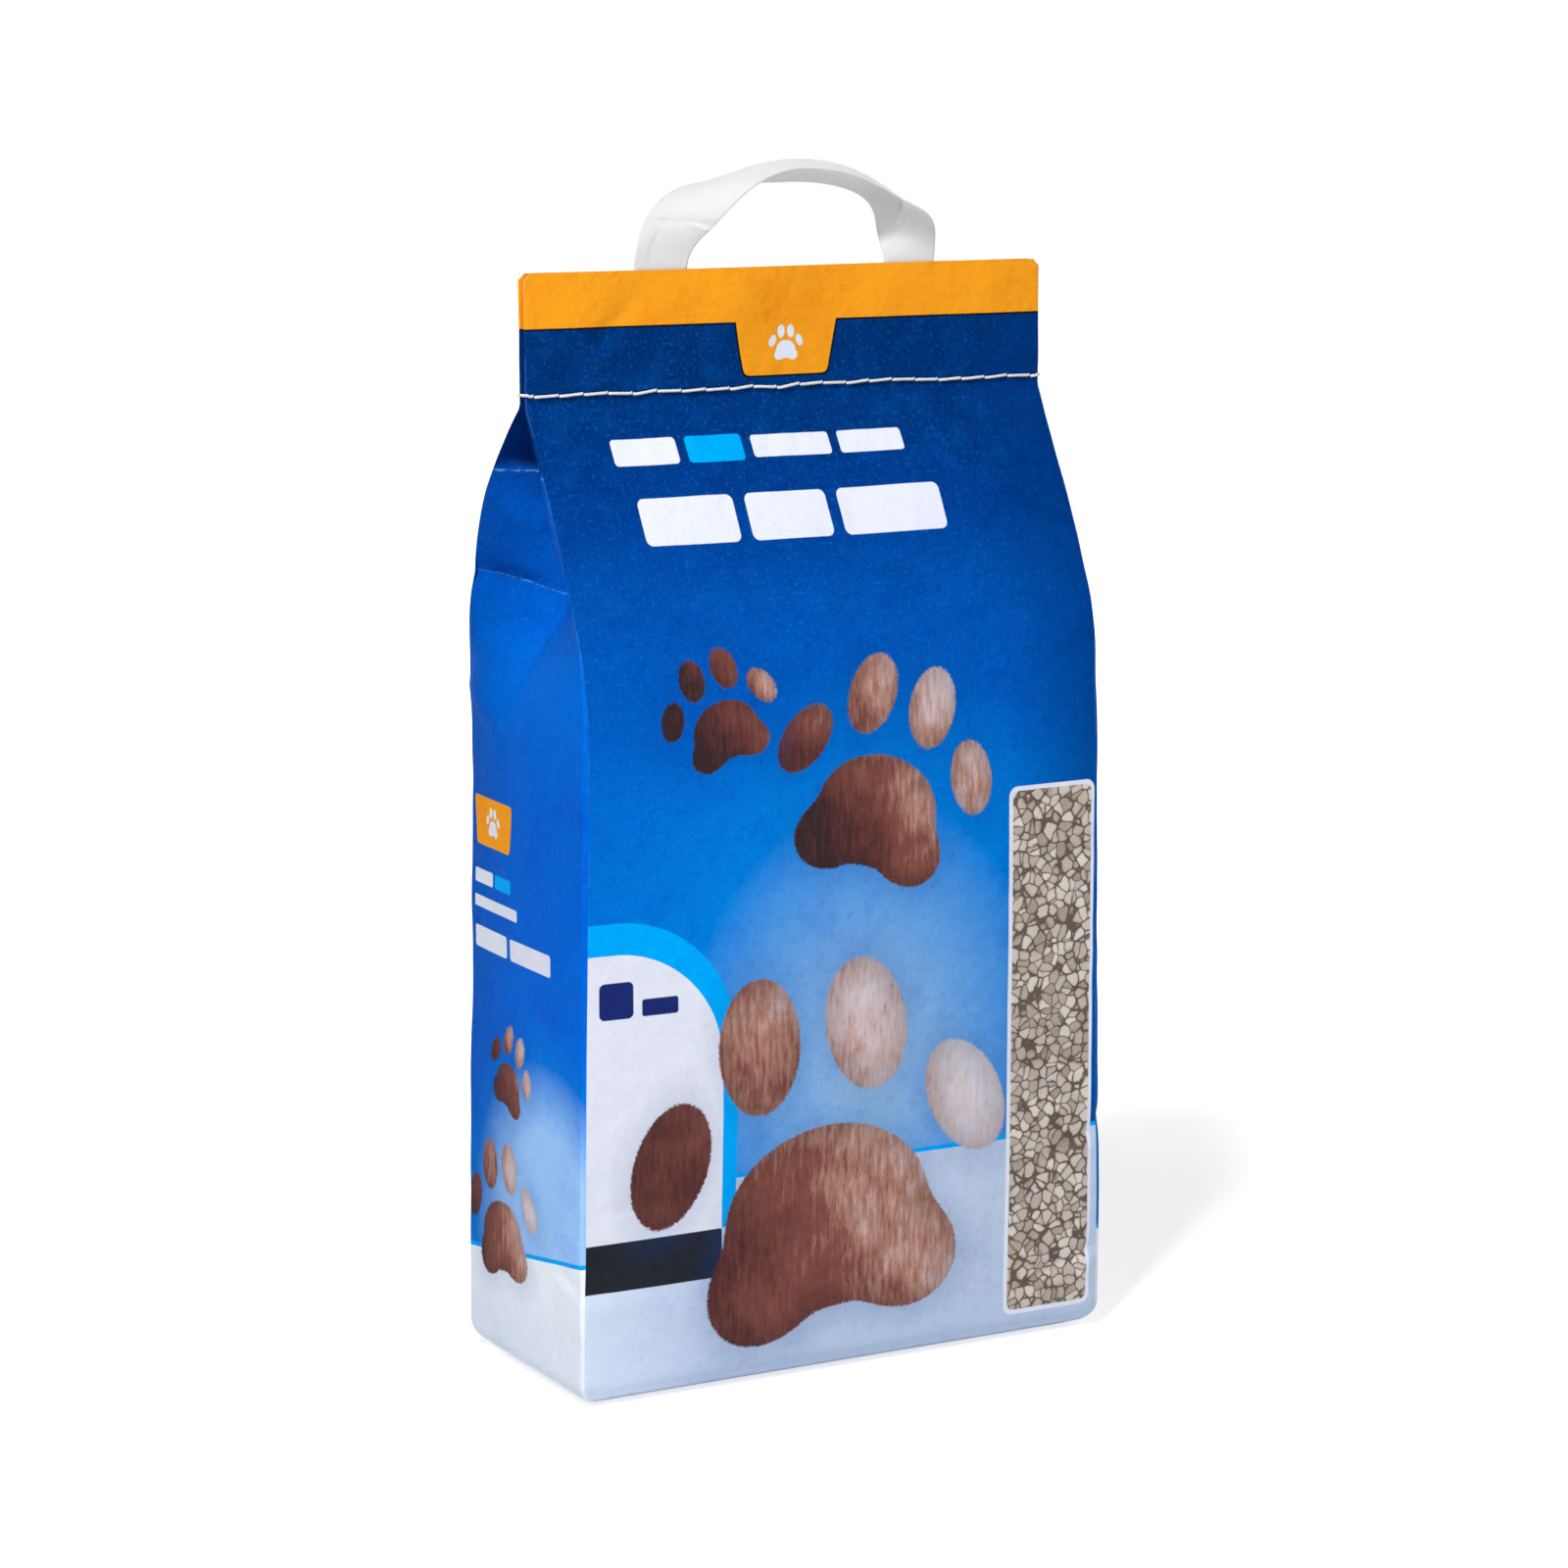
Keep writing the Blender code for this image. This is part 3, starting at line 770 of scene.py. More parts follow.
class Surface:
    """A material being built: its shader, its places on the paper and its colour so far."""

    def __init__(self, name, uv="print"):
        self.material = bpy.data.materials.new(name)
        self.material.use_nodes = True
        self.tree = self.material.node_tree
        self.shader = self.tree.nodes["Principled BSDF"]
        self.colour = None
        if uv:
            self.place = self.node("UVMap", uv_map=uv).outputs[0]
        else:
            self.place = self.node("TexCoord").outputs["Object"]
        self.x, self.z = self.parts(self.place)

    def node(self, kind, inputs=None, **settings):
        return add_node(self.tree, kind, inputs, **settings)

    def parts(self, place):
        outputs = self.node("SeparateXYZ", {0: place}).outputs
        return Field(self.tree, outputs[0]), Field(self.tree, outputs[1])

    def noise(self, scale, detail, roughness, stretch=(1, 1, 1)):
        """Noise of about the given number of lumps per metre."""
        mapping = self.node("Mapping", {"Scale": stretch, "Vector": self.place})
        inputs = {"Vector": mapping.outputs[0], "Scale": scale, "Detail": detail, "Roughness": roughness}
        return Field(self.tree, self.node("TexNoise", inputs).outputs[0])

    def ramp(self, field, stops):
        """A colour that follows a field through stops of (position, colour)."""
        node = self.node("ValToRGB", {0: field})
        ramp = node.color_ramp
        ramp.elements[0].position, ramp.elements[0].color = stops[0]
        ramp.elements[1].position, ramp.elements[1].color = stops[-1]
        for position, colour in stops[1:-1]:
            ramp.elements.new(position).color = colour
        return node.outputs[0]

    def mix(self, share, first, second, kind="MIX"):
        """first where share is 0 and second where it is 1. Each is a socket or a colour."""
        inputs = {0: share, 6: first, 7: second}
        return self.node("Mix", inputs, data_type="RGBA", blend_type=kind).outputs[2]

    def lay(self, share, ink, kind="MIX"):
        """Lays an ink over the colour so far, as thickly as the share says."""
        self.colour = self.mix(share, self.colour, ink, kind)

    def fill(self, shape, ink, softness=PRINT_SOFTNESS):
        """Prints the inside of a shape."""
        self.lay(shape.inside(softness), ink)

    def rounded_box(self, low_x, high_x, low_z, high_z, radius):
        """Distance from the edge of a rounded rectangle, below 0 inside."""
        over_x = (self.x - (low_x + high_x) / 2).size() - ((high_x - low_x) / 2 - radius)
        over_z = (self.z - (low_z + high_z) / 2).size() - ((high_z - low_z) / 2 - radius)
        outer_x, outer_z = over_x.most(0.0), over_z.most(0.0)
        outer = (outer_x * outer_x + outer_z * outer_z).math("SQRT")
        return outer + over_x.most(over_z).least(0.0) - radius

    def fill_box(self, low_x, high_x, low_z, high_z, radius, ink):
        self.fill(self.rounded_box(low_x, high_x, low_z, high_z, radius), ink)

    def framed(self, place, middle, size, lean=0.0):
        """The place as seen from a middle, turned by the lean and measured in sizes."""
        inputs = {"Location": (*middle, 0), "Rotation": (0, 0, lean), "Scale": (*size, 1)}
        return self.node("Mapping", {"Vector": place, **inputs}, vector_type="TEXTURE").outputs[0]

    def ellipse(self, place, middle, size, lean=0.0):
        """About the distance from an ellipse's edge, below 0 inside."""
        framed = self.framed(place, middle, size, lean)
        length = self.node("VectorMath", {0: framed}, operation="LENGTH").outputs["Value"]
        return Field(self.tree, length).math("MULTIPLY_ADD", min(size), -min(size))

    def bump(self, height, distance, strength, below=None):
        """The surface's direction with a relief on it, over another relief if one is given."""
        inputs = {"Height": height, "Distance": distance, "Strength": strength}
        if below:
            inputs["Normal"] = below
        return self.node("Bump", inputs).outputs[0]

    def finished(self, normal, roughness, shine):
        """The material, once its colour and relief are done."""
        inputs = self.shader.inputs
        self.tree.links.new(self.colour, inputs["Base Color"])
        self.tree.links.new(normal, inputs["Normal"])
        inputs["Roughness"].default_value = roughness
        inputs["Specular IOR Level"].default_value = shine
        return self.material


def paw(paper, middle, size, lean=0.0):
    """A plain paw print: one pad of three lobes, and four toes. Below 0 inside."""
    place = paper.framed(paper.place, middle, (size, size), lean)
    shape = paper.ellipse(place, (0.0, -0.13), (0.27, 0.22))
    for side in (-1, 1):
        lobe = paper.ellipse(place, (side * 0.17, -0.25), (0.17, 0.14), side * -0.5)
        shape = shape.math("SMOOTH_MIN", lobe, 0.06)
    for side in (-1, 1):
        inner_toe = paper.ellipse(place, (side * 0.14, 0.31), (0.105, 0.16), side * 0.10)
        outer_toe = paper.ellipse(place, (side * 0.39, 0.08), (0.095, 0.15), side * 0.42)
        shape = shape.least(inner_toe).least(outer_toe)
    return shape * size


def fur(paper, start, end, shift):
    """Soft fur whose colour runs from dark brown to white between two places."""
    run_x, run_z = end[0] - start[0], end[1] - start[1]
    length = run_x * run_x + run_z * run_z
    along = ((paper.x - start[0]) * run_x + (paper.z - start[1]) * run_z) / length
    patches = paper.noise(26, 3, 0.55)
    hairs = paper.noise(520, 4, 0.7, (1.0, 0.16, 1.0))
    tone = along + (patches - 0.5) * 0.75 + (hairs - 0.5) * 0.55 + shift
    return paper.ramp(tone, FUR_TONES)


def add_paw(paper, middle, size, lean=0.0, shift=0.0):
    """A paw print of fur with a ragged edge, a darker rim and a faint halo on the ground."""
    ragged = (paper.noise(900, 3, 0.6) - 0.5) * 0.0022
    shape = paw(paper, middle, size, lean) + ragged
    reach_x, reach_z = size / 2, size / 2 * 0.6
    start = (middle[0] - reach_x, middle[1] - reach_z)
    end = (middle[0] + reach_x, middle[1] + reach_z)
    rim = shape.taken_from(-size * 0.035).inside(size * 0.07)
    hair = paper.mix(rim * 0.35, fur(paper, start, end, shift), DARK_FUR)
    paper.lay((shape - 0.004).inside(0.012) * 0.22, PAW_HALO)
    paper.fill(shape, hair, 0.0006)


def blue_ground(paper, blues, glow_place, glow_size, glow, gain=1.6, start=0.55):
    """The blue of the pack, darkest at the top, with a paler glow low down. The side's blues also hold
    painted light and shade.
    """
    away = paper.ellipse(paper.place, glow_place, glow_size) / min(glow_size)
    fleck = paper.noise(640, 3, 0.7).taken_from(0.60).inside(0.10)
    cloud = (paper.noise(75, 4, 0.65) - 0.47).scaled(2.5)
    paper.colour = paper.ramp(paper.z / SACK_HEIGHT, blues)
    paper.lay(away.scaled(-1.5), BRIGHT_BLUE)
    paper.lay(away.scaled(-gain, -start), glow)
    paper.lay(cloud * 0.16, CLOUD_BLUE)
    paper.lay(fleck * 0.13, FLECK_BLUE)


def pale_floor(paper, horizon, slope, shade_place, ground):
    """The pale ground that the print stands on, under a thin bright line."""
    above = paper.z - paper.x * slope - horizon
    shadow = paper.ellipse(paper.place, shade_place, (0.085, 0.020))
    left_light = (paper.x + 0.085).inside(0.06)
    ground = paper.mix(shadow.inside(0.034) * 0.15, ground, FLOOR_SHADE)
    ground = paper.mix(left_light * 0.7, ground, FLOOR_LIGHT)
    paper.fill(above - HORIZON_LINE, CYAN)
    paper.fill(above, ground)


def orange_area(paper, shape):
    """Orange inside a thin dark line."""
    paper.fill(shape - BAND_LINE, INK_LINE)
    paper.fill(shape, ORANGE)


def tab_sides(paper, middle, foot, half, flare):
    """How far out a place is past a tab's two leaning sides."""
    across = (paper.x - middle).size()
    return across - (paper.z - foot) * flare - half


def flap_print(paper):
    """Orange band along the top with a tab in its middle, and a plain sign on the tab."""
    band = paper.z.taken_from(BAND_EDGE)
    sides = tab_sides(paper, TAB_MIDDLE, TAB_BOTTOM, TAB_HALF, 0.20)
    tab = sides.math("SMOOTH_MAX", paper.z.taken_from(TAB_BOTTOM), 0.004)
    orange_area(paper, band.least(tab))
    paper.fill(paw(paper, (TAB_MIDDLE, 0.3945), 0.0155), WHITE_PRINT)


def bars(paper, rows):
    for *sizes, ink in rows:
        left, right, middle, thick = [size * MM for size in sizes]
        low, high = middle - thick / 2, middle + thick / 2
        paper.fill_box(left, right, low, high, thick * 0.16, ink)


def pebbles(paper):
    """The pictured granules: pale grey stones of many sizes with dark gaps."""
    shift = paper.node("TexNoise", {"Vector": paper.place, "Scale": 160}).outputs["Color"]
    warp = (PEBBLE_WARP, PEBBLE_WARP, 0.0)
    warped = paper.node("VectorMath", {0: shift, 1: warp, 2: paper.place}, operation="MULTIPLY_ADD")
    inputs = {"Vector": warped.outputs[0], "Scale": PEBBLES_PER_METRE}
    cells = paper.node("TexVoronoi", inputs, feature="F1").outputs
    edges = paper.node("TexVoronoi", inputs, feature="DISTANCE_TO_EDGE").outputs
    near, tint, edge = [Field(paper.tree, socket) for socket in (cells[0], cells[1], edges[0])]
    gap_width = (paper.noise(300, 2, 0.5) - 0.20) * 0.12
    corner = (near - 0.52).most(0.0) * 0.24
    outside = gap_width + corner - edge
    rim = outside.taken_from(-0.07).inside(0.14)
    stone = paper.mix(rim * 0.45, paper.ramp(tint, STONE_TONES), STONE_RIM)
    stone = paper.mix(outside.inside(0.05), STONE_GAP, stone)
    return paper.mix(paper.noise(1500, 3, 0.6) * 0.25, stone, STONE_GRAIN)


def finish_paper(paper):
    """The coating: mottled ink, fine grain and soft crinkles."""
    mottle = paper.noise(240, 5, 0.75) - 0.5
    cloud = (paper.noise(38, 3, 0.6) - 0.52).scaled(2.0)
    paper.lay(mottle.scaled(2.2) * 0.6, MOTTLE_LIGHT, "SOFT_LIGHT")
    paper.lay(mottle.scaled(-2.2) * 0.6, MOTTLE_DARK, "SOFT_LIGHT")
    paper.lay(cloud * 0.6, MOTTLE_CLOUD, "SOFT_LIGHT")
    normal = paper.bump(paper.noise(95, 4, 0.6), 0.0016, 0.55)
    normal = paper.bump(paper.noise(900, 3, 0.6), 0.0002, 0.30, normal)
    return paper.finished(normal, PAPER_ROUGHNESS, PAPER_SHINE)


def wear(paper, strength):
    """Ink rubbed pale along the folds, as the paper's second set of places tells."""
    edges = paper.node("UVMap", uv_map="edges").outputs[0]
    from_fold = paper.parts(edges)[0]
    patchy = (paper.noise(180, 3, 0.7) - 0.5) * 0.0008
    here = (paper.noise(30, 2, 0.6) - 0.42).scaled(3.5)
    line = (from_fold + patchy - 0.0002).inside(0.0004)
    paper.lay(line * here * strength, RUBBED_FOLD)


def seam_holes(paper):
    """The dark needle holes beside the thread, one at each stitch."""
    across = (paper.x + 10 * STITCH_PITCH).math("WRAP", STITCH_PITCH / 2, -STITCH_PITCH / 2)
    up = (paper.z - seam_height) * 0.8
    away = (across * across + up * up).math("SQRT")
    paper.lay((away - 0.0008).inside(0.0007) * 0.8, NEEDLE_HOLE)


def finish_panel(paper):
    """What the front and the back have alike: headline bars, flap, wear and needle holes."""
    bars(paper, HEADLINE)
    flap_print(paper)
    wear(paper, 0.45)
    seam_holes(paper)
    return finish_paper(paper)


def front_material():
    paper = Surface("front_print")
    blue_ground(paper, FRONT_BLUES, (0.007, 0.120), (0.125, 0.160), FRONT_GLOW)
    # Darker towards the right edge: partly the print's own dark edge, partly painted shade of the lamps'
    # light falling off to the right
    right_edge_ink_and_shade = (paper.x - 0.096).inside(0.060).taken_from(1.0)
    paper.lay(right_edge_ink_and_shade * 0.90, FRONT_EDGE_INK_AND_SHADE)
    pale_floor(paper, 0.0830, 0.0, (0.005, 0.022), PALE_FLOOR)
    below_strip = paper.z.taken_from(STRIP_TOP)
    arc = paper.rounded_box(-0.200, -0.0500, 0.020, 0.1865, 0.050)
    field = paper.rounded_box(-0.200, -0.0560, 0.020, 0.1745, 0.045)
    paper.fill(arc.most(below_strip), CYAN)
    paper.fill(field.most(below_strip), WHITE_PRINT)
    paper.fill_box(-0.200, -0.0560, 0.045, STRIP_TOP, 0.001, DARK_STRIP)
    bars(paper, FIELD_BARS)
    add_paw(paper, (-0.012, 0.084), 0.166, 0.10)
    add_paw(paper, (0.014, 0.232), 0.098, -0.28, -0.10)
    add_paw(paper, (-0.056, 0.262), 0.050, 0.30, -0.30)
    paper.fill_box(0.0705, 0.1105, 0.0105, 0.2235, 0.0040, WHITE_PRINT)
    paper.fill_box(0.0723, 0.1090, 0.0123, 0.2217, 0.0028, pebbles(paper))
    return finish_panel(paper)


def side_material():
    paper = Surface("side_print")
    # The side's blues hold painted light on the facet below the pinch and painted shade above the crease
    blue_ground(paper, SIDE_BLUES_AND_PAINTED_LIGHT, (0.020, 0.062), (0.080, 0.085), SIDE_GLOW, 3.2, 0.7)
    paper.lay((paper.x + 0.030).inside(0.050) * 0.40, SIDE_DUSK)
    pale_floor(paper, 0.0480, 0.150, (-0.012, 0.012), SIDE_FLOOR)
    add_paw(paper, (-0.018, 0.060), 0.062, 0.10)
    add_paw(paper, (-0.010, 0.118), 0.038, -0.28, -0.10)
    tab_x, tab_z = SIDE_TAB_PLACE
    half_x, half_z = SIDE_TAB_HALF
    sides = tab_sides(paper, tab_x, tab_z - half_z, half_x, 0.12)
    paper.fill(sides.math("SMOOTH_MAX", (paper.z - tab_z).size() - half_z, 0.003), ORANGE)
    paper.fill(paw(paper, SIDE_TAB_PLACE, 0.0130), WHITE_PRINT)
    bars(paper, SIDE_BARS)
    orange_area(paper, paper.z.taken_from(BAND_EDGE))
    patchy = (paper.noise(260, 3, 0.7) - 0.5) * 0.0024
    rubbed = (paper.z - CREASE_HEIGHT + 0.0008).size() - 0.0002
    paper.lay((rubbed + patchy).inside(0.0006) * 0.4, RUBBED_CREASE)
    pinch = (paper.z - paper.x.size() * 0.130 - 0.3022).size() - 0.0001
    paper.lay((pinch + patchy).inside(0.0006) * 0.35, MOTTLE_LIGHT)
    wear(paper, 0.4)
    return finish_paper(paper)


def back_material():
    paper = Surface("back_print")
    blue_ground(paper, FRONT_BLUES, (0.0, 0.110), (0.115, 0.120), FRONT_GLOW)
    pale_floor(paper, 0.0785, 0.0, (0.0, 0.020), PALE_FLOOR)
    add_paw(paper, (0.0, 0.062), 0.100)
    paper.fill_box(-0.088, 0.088, 0.135, 0.290, 0.006, WHITE_PRINT)
    bars(paper, PANEL_BARS)
    rows = (paper.z - 0.1700).math("WRAP", LINE_PITCH / 2, -LINE_PITCH / 2).size() - 0.0007
    ragged = paper.noise(60, 1, 0.5, (0.0, 1.0, 1.0)) * 0.030
    for left, right in ((-0.080, -0.004), (0.006, 0.080)):
        column = paper.rounded_box(left, right, 0.1720, 0.2690, 0.0005)
        column = column.most(paper.x - right + ragged)
        paper.fill(column.most(rows), PLAIN_LINES)
    for middle, ink in ((-0.068, CYAN), (-0.040, NAVY_MARK), (-0.012, ORANGE)):
        paper.fill_box(middle - 0.011, middle + 0.011, 0.1410, 0.1630, 0.004, ink)
        paper.fill(paper.ellipse(paper.place, (middle, 0.152), (0.0055, 0.0055)), WHITE_PRINT)
    return finish_panel(paper)


def plain_paper(name, colour):
    """Paper without a print, whose places are the object's own."""
    paper = Surface(name, None)
    paper.colour = colour
    return finish_paper(paper)


def strap_frame(turn):
    """At a turn round the arch: the strap's middle, the way across it and the way out of it."""
    lean = HANDLE_LEAN * sin(turn)
    height = SACK_HEIGHT + HANDLE_RISE * max(0.0, sin(turn)) ** RISE_POWER
    set_back = HANDLE_SET_BACK * sin(turn)
    middle = Vector((lean - HANDLE_SPAN / 2 * cos(turn), set_back, height))
    inward = Vector((cos(turn), 0, -sin(turn)))
    along = Vector((sin(turn), 0, cos(turn)))
    side = cos(turn)
    power = LEFT_TWIST_POWER if side > 0 else RIGHT_TWIST_POWER
    share = TWIST_DRIFT * side + (1 - TWIST_DRIFT) * side * abs(side) ** power
    twist = radians(90) * (1 - share) + radians(STRAP_ROLL_DEGREES) * sin(turn) ** 2
    width = inward * cos(twist) + Vector((0, -1, 0)) * sin(twist)
    return middle, width, width.cross(along)


def strap_relief(across, degrees_on):
    """Hem and creases of the strap, by the place across it and the angle along its arch."""
    relief = STRAP_HEM * (1 - np.clip((across - HEM_EDGE) / HEM_STEP, 0, 1))
    lengths = degrees_on * radians(1) * HANDLE_SPAN / 2
    for (first_across, first_degrees), (last_across, last_degrees), lift, width in STRAP_CREASES:
        start = (first_across, radians(first_degrees) * HANDLE_SPAN / 2)
        end = (last_across, radians(last_degrees) * HANDLE_SPAN / 2)
        relief = relief + crease(across, lengths, start, end, lift, width)
    return relief


def make_strap():
    """The strap from one leg's end over the arch to the other, as a sheet that is then thickened."""
    across = np.linspace(-STRAP_WIDTH / 2, STRAP_WIDTH / 2, STRAP_COLUMNS + 1)
    leg = [leg_bottom + LEG_TUCK * i / LEG_ROWS for i in range(LEG_ROWS)]
    rows = [[settled(u - HANDLE_SPAN / 2, 0, z) for u in across] for z in leg]
    for i in range(ARCH_ROWS + 1):
        turn = pi * i / ARCH_ROWS
        middle, width, outward = strap_frame(turn)
        relief = strap_relief(across, 180 * i / ARCH_ROWS) * min(1.0, 6 * sin(turn))
        row = []
        for u, lift in zip(across, relief):
            curl = STRAP_CURL * sin(turn) ** 2 * (1 - (2 * u / STRAP_WIDTH) ** 2)
            row.append(settled(*(middle + width * u + outward * (curl + lift))))
        rows.append(row)
    rows += [[settled(u + HANDLE_SPAN / 2, 0, z) for u in across] for z in reversed(leg)]
    points = [point for row in rows for point in row]
    mesh = new_mesh("handle_strap", points, grid_faces(len(rows), len(across), False))
    mesh.shade_smooth()
    strap = put_in_scene("handle_strap", mesh)
    thick = strap.modifiers.new("thickness", "SOLIDIFY")
    thick.thickness = STRAP_THICKNESS
    thick.offset = 0
    return strap


def stitch_places():
    gaps = int((FOLD_WIDTH - 2 * STITCH_EDGE_MARGIN) / STITCH_PITCH)
    return [(i - gaps / 2) * STITCH_PITCH for i in range(gaps + 1)]


def thread_route():
    """The closing thread from end to end: straight runs along the front, chain loops behind."""
    places = stitch_places()
    radius = THREAD_DIAMETER / 2
    lie = radius
    over = lie + THREAD_DIAMETER
    strand = STRAND_SPACING / 2
    turn = radius
    wide = strand + THREAD_DIAMETER
    route = []

    def add(x, side, stand, z):
        y = side * (flap_half_thickness(x) + stand)
        route.append(settled(x, y, seam_height + z))

    def wrap(end):
        corner = FOLD_WIDTH / 2 - radius
        edge = FOLD_WIDTH / 2 + lie
        return [
            (end * corner, -1, lie),
            (end * edge, -1, -radius),
            (end * edge, 1, -radius),
            (end * corner, 1, lie),
            (end * (corner - THREAD_TAIL), 1, lie),
        ]

    for x, side, stand in reversed(wrap(-1)):
        add(x, side, stand, WRAP_LIFT)
    for number, place in enumerate(places):
        sway = THREAD_SWAY * noise.noise(Vector((number * 1.7, 0.3, 0.9)))
        add(place - 3 * turn, -1, lie, strand * 0.25 + sway)
        add(place - turn, -1, lie * 0.1, strand * 0.4 + sway)
        add(place, 1, -lie, strand)
        if number == len(places) - 1:
            add(place + turn, 1, over, strand / 2)
            add(place + turn, 1, over, -strand / 2)
        else:
            reach = places[number + 1]
            loop = [
                (place + turn, over, strand),
                (place + 2 * THREAD_DIAMETER, over, strand),
                (place + STITCH_PITCH / 3, lie, (strand + wide) / 2),
                (reach, lie, wide),
                (reach + THREAD_DIAMETER, lie, wide * 0.7),
                (reach + THREAD_DIAMETER + turn, lie, wide / 3),
            ]
            for x, stand, z in loop:
                add(x, 1, stand, z)
            for x, stand, z in reversed(loop):
                add(x, 1, stand, -z)
        add(place, 1, -lie, -strand)
        add(place + turn, -1, lie * 0.1, -strand * 0.4 + sway)
        add(place + 3 * turn, -1, lie, -strand * 0.25 + sway)
    for x, side, stand in wrap(1):
        add(x, side, stand, 0)
    return np.array(route)


def smooth_path(route, step):
    """Points at even steps along a smooth curve through the route."""
    padded = np.vstack([route[0], route, route[-1]])
    points = []
    for i in range(len(route) - 1):
        before, start, end, beyond = padded[i:i + 4]
        length = np.linalg.norm(end - start)
        count = max(2, int(length / step))
        for t in np.arange(count) / count:
            square = 2 * before - 5 * start + 4 * end - beyond
            cube = 3 * start - before - 3 * end + beyond
            bend = (2 * start + (end - before) * t + square * t ** 2 + cube * t ** 3) / 2
            straight = start + (end - start) * t
            points.append(CURVE_SHARE * bend + (1 - CURVE_SHARE) * straight)
    points.append(route[-1])
    return np.array(points)


def make_thread():
    """A tube of three plies that twist about each other."""
    path = smooth_path(thread_route(), THREAD_STEP)
    tangents = np.gradient(path, axis=0)
    tangents /= np.linalg.norm(tangents, axis=1)[:, None]
    angles = 2 * pi * np.arange(THREAD_SIDES) / THREAD_SIDES
    up = np.array([0.0, 0.0, 1.0])
    run = 0.0
    points = []
    for i, (point, tangent) in enumerate(zip(path, tangents)):
        side = np.cross(tangent, up)
        side /= np.linalg.norm(side)
        up = np.cross(side, tangent)
        if i:
            run += np.linalg.norm(point - path[i - 1])
        ply = np.cos(PLIES * (angles - 2 * pi * run / THREAD_TWIST))
        radius = THREAD_DIAMETER / 2 * (PLY_ROOT + PLY_LIFT * ply)
        ways = np.outer(np.cos(angles), side) + np.outer(np.sin(angles), up)
        points.append(point + radius[:, None] * ways)
    faces = [tuple(reversed(range(THREAD_SIDES)))]
    faces += grid_faces(len(path), THREAD_SIDES, True)
    last = (len(path) - 1) * THREAD_SIDES
    faces.append(tuple(range(last, last + THREAD_SIDES)))
    mesh = new_mesh("seam_thread", np.vstack(points).tolist(), faces)
    mesh.shade_smooth()
    return put_in_scene("seam_thread", mesh)


def thread_material():
    surface = Surface("white_thread", None)
    fluff = surface.noise(2500, 2, 0.6)
    surface.colour = surface.mix(fluff, THREAD_SHADE, THREAD_WHITE)
    return surface.finished(surface.bump(fluff, 0.0002, 0.4), THREAD_ROUGHNESS, CLOTH_SHINE)


def strap_material():
    surface = Surface("white_strap", None)
    weave = surface.noise(900, 3, 0.6)
    surface.colour = surface.mix(weave, STRAP_SHADE, STRAP_WHITE)
    inputs = surface.shader.inputs
    inputs["Subsurface Weight"].default_value = STRAP_GLOW_THROUGH
    inputs["Subsurface Radius"].default_value = (STRAP_GLOW_REACH,) * 3
    inputs["Subsurface Scale"].default_value = 1.0
    normal = surface.bump(surface.noise(160, 3, 0.5), 0.0008, 0.35)
    normal = surface.bump(weave, 0.0002, 0.3, normal)
    return surface.finished(normal, STRAP_ROUGHNESS, CLOTH_SHINE)


def make_camera():
    data = bpy.data.cameras.new("camera")
    data.lens = CAMERA_LENS
    data.sensor_width = CAMERA_SENSOR
    camera = put_in_scene("camera", data)
    camera.location = CAMERA_PLACE
    camera.rotation_euler = (radians(90 - CAMERA_TILT), 0, radians(-CAMERA_YAW))
    bpy.context.scene.camera = camera


def make_lamp(name, place, aim, size, power):
    data = bpy.data.lights.new(name, "AREA")
    data.shape = "RECTANGLE"
    data.size, data.size_y = size
    data.energy = power
    lamp = put_in_scene(name, data)
    lamp.location = place
    direction = Vector(aim) - Vector(place)
    lamp.rotation_euler = direction.to_track_quat("-Z", "Y").to_euler()


def seen_as(tree, lit, seen, output):
    """One shader where the camera or a reflection sees it, and another for the light on the sack."""
    path = add_node(tree, "LightPath").outputs
    share = Field(tree, path["Is Camera Ray"])
    for ray in ("Is Glossy Ray", "Is Transmission Ray"):
        share = share.most(path[ray])
    choice = add_node(tree, "MixShader", {0: share, 1: lit, 2: seen})
    add_node(tree, output, {"Surface": choice.outputs[0]})


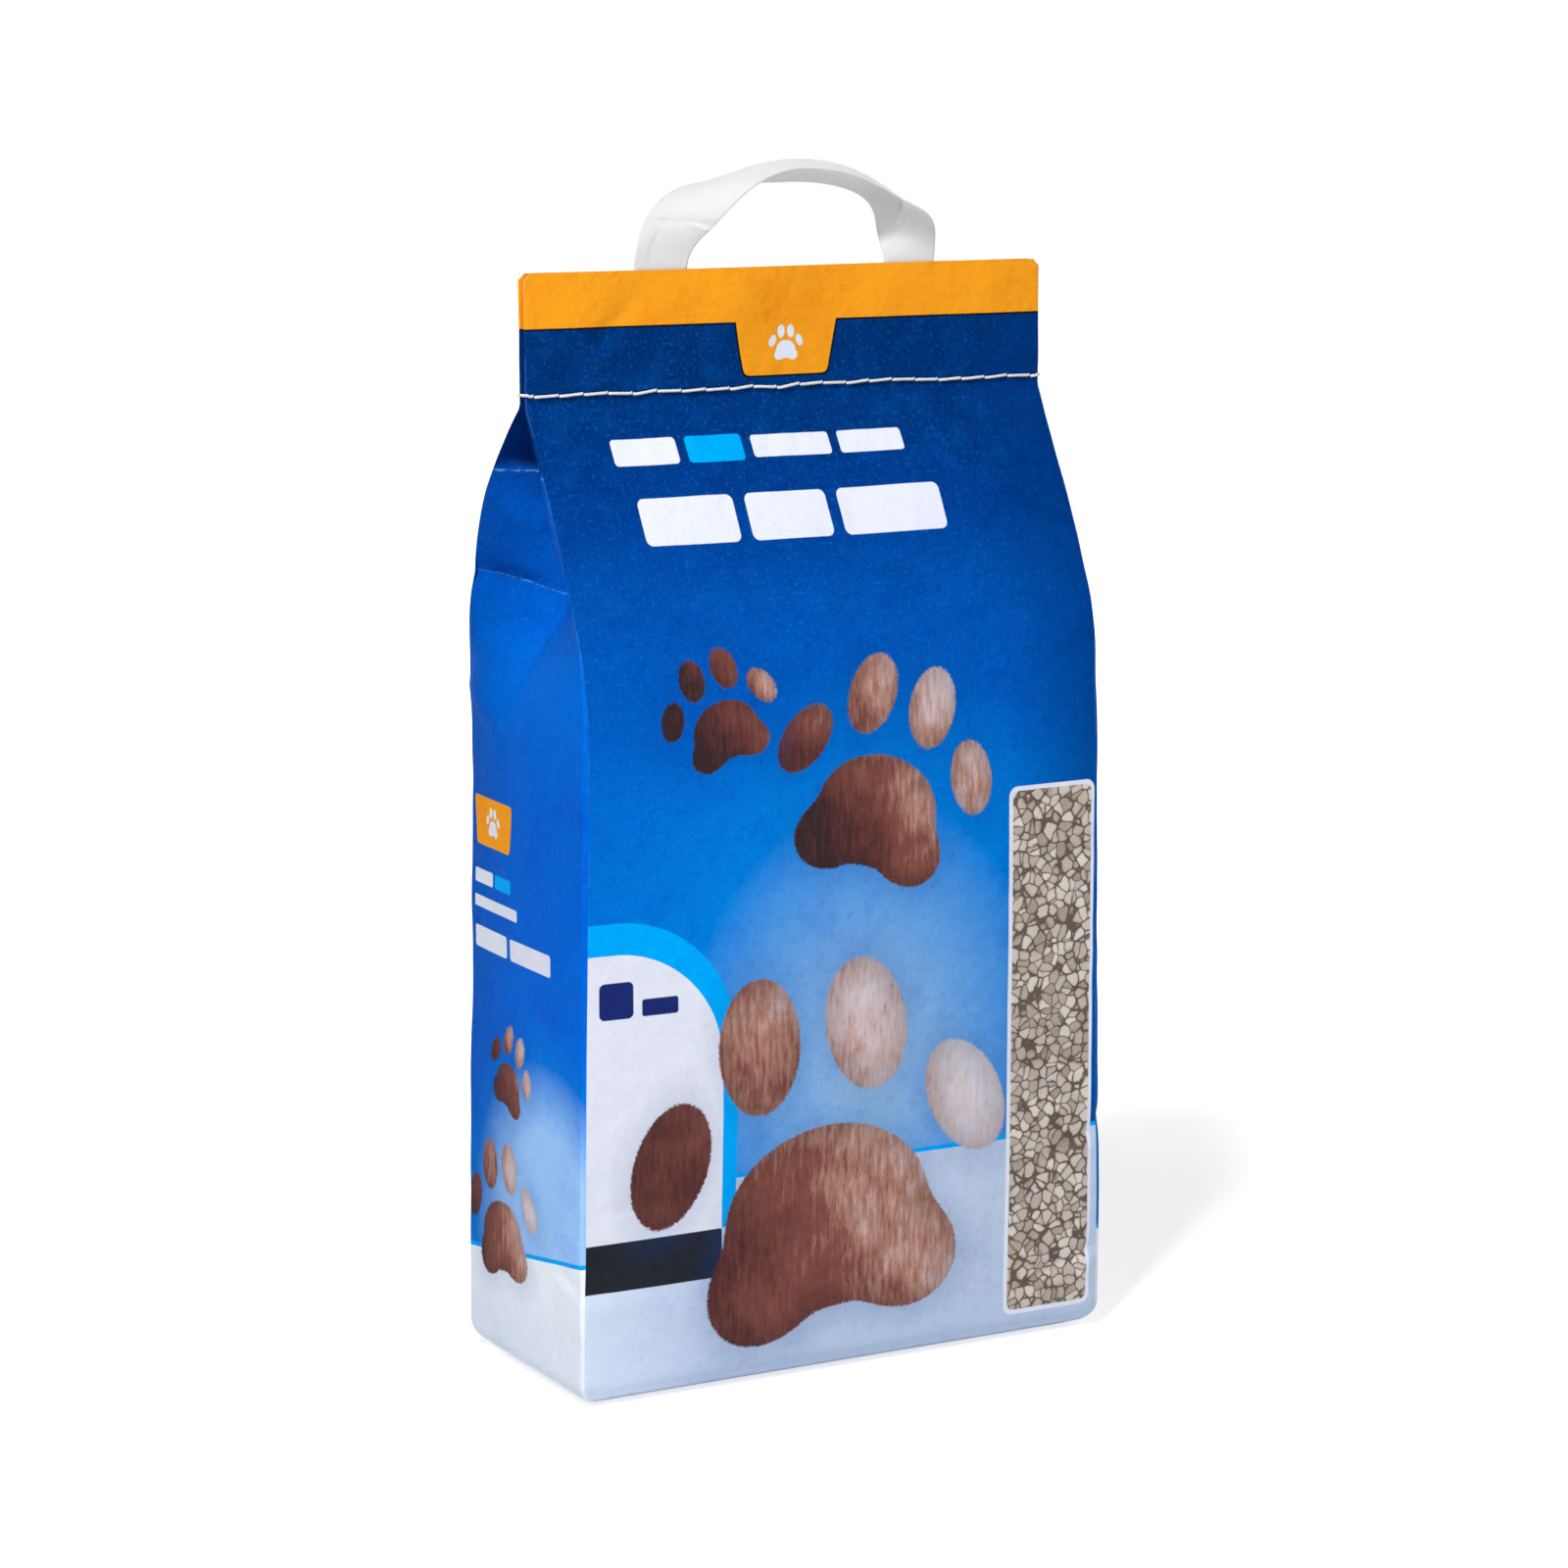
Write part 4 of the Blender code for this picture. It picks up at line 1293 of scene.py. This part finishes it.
def white_floor(tree, diffuse):
    """White that keeps the shadow: by the sack, a share of the floor's light is left to the lamps."""
    place = add_node(tree, "TexCoord").outputs["Object"]
    away = add_node(tree, "VectorMath", {0: place}, operation="LENGTH").outputs["Value"]
    glow = add_node(tree, "MapRange", {0: away, 1: GLOW_START, 2: GLOW_END, 3: FLOOR_GLOW, 4: 1.0})
    white = add_node(tree, "Emission", {"Strength": glow.outputs[0]})
    return add_node(tree, "AddShader", {0: diffuse, 1: white.outputs[0]}).outputs[0]


def empty_tree(owner):
    owner.use_nodes = True
    owner.node_tree.nodes.clear()
    return owner.node_tree


def make_studio():
    corners = [(x * FLOOR_HALF, y * FLOOR_HALF, 0) for x, y in ((-1, -1), (1, -1), (1, 1), (-1, 1))]
    mesh = new_mesh("floor", corners, [(0, 1, 2, 3)])
    floor = put_in_scene("floor", mesh)
    floor.location.z = -FLOOR_DROP
    material = bpy.data.materials.new("floor")
    tree = empty_tree(material)
    diffuse = add_node(tree, "BsdfDiffuse", {0: FLOOR_COLOUR}).outputs[0]
    seen_as(tree, diffuse, white_floor(tree, diffuse), "OutputMaterial")
    mesh.materials.append(material)
    world = bpy.data.worlds.new("studio")
    bpy.context.scene.world = world
    tree = empty_tree(world)
    sky = add_node(tree, "Background", {"Strength": SKY_STRENGTH}).outputs[0]
    white = add_node(tree, "Emission").outputs[0]
    seen_as(tree, sky, white, "OutputWorld")
    for lamp in LAMPS:
        make_lamp(*lamp)


make_camera()
make_studio()

skin = make_skin()
close_mouth(skin)
for material in (front_material(), side_material(), back_material(),
                 plain_paper("base_paper", BASE_COLOUR),
                 plain_paper("cut_edge", CUT_EDGE_COLOUR)):
    skin.data.materials.append(material)
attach(skin, "root")
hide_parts("filled_sack")

strap = make_strap()
strap.data.materials.append(strap_material())
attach(strap, "root")
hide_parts("carry_handle")

thread = make_thread()
thread.data.materials.append(thread_material())
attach(thread, "root")
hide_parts("closing_thread")

bpy.context.scene.view_settings.view_transform = "Standard"
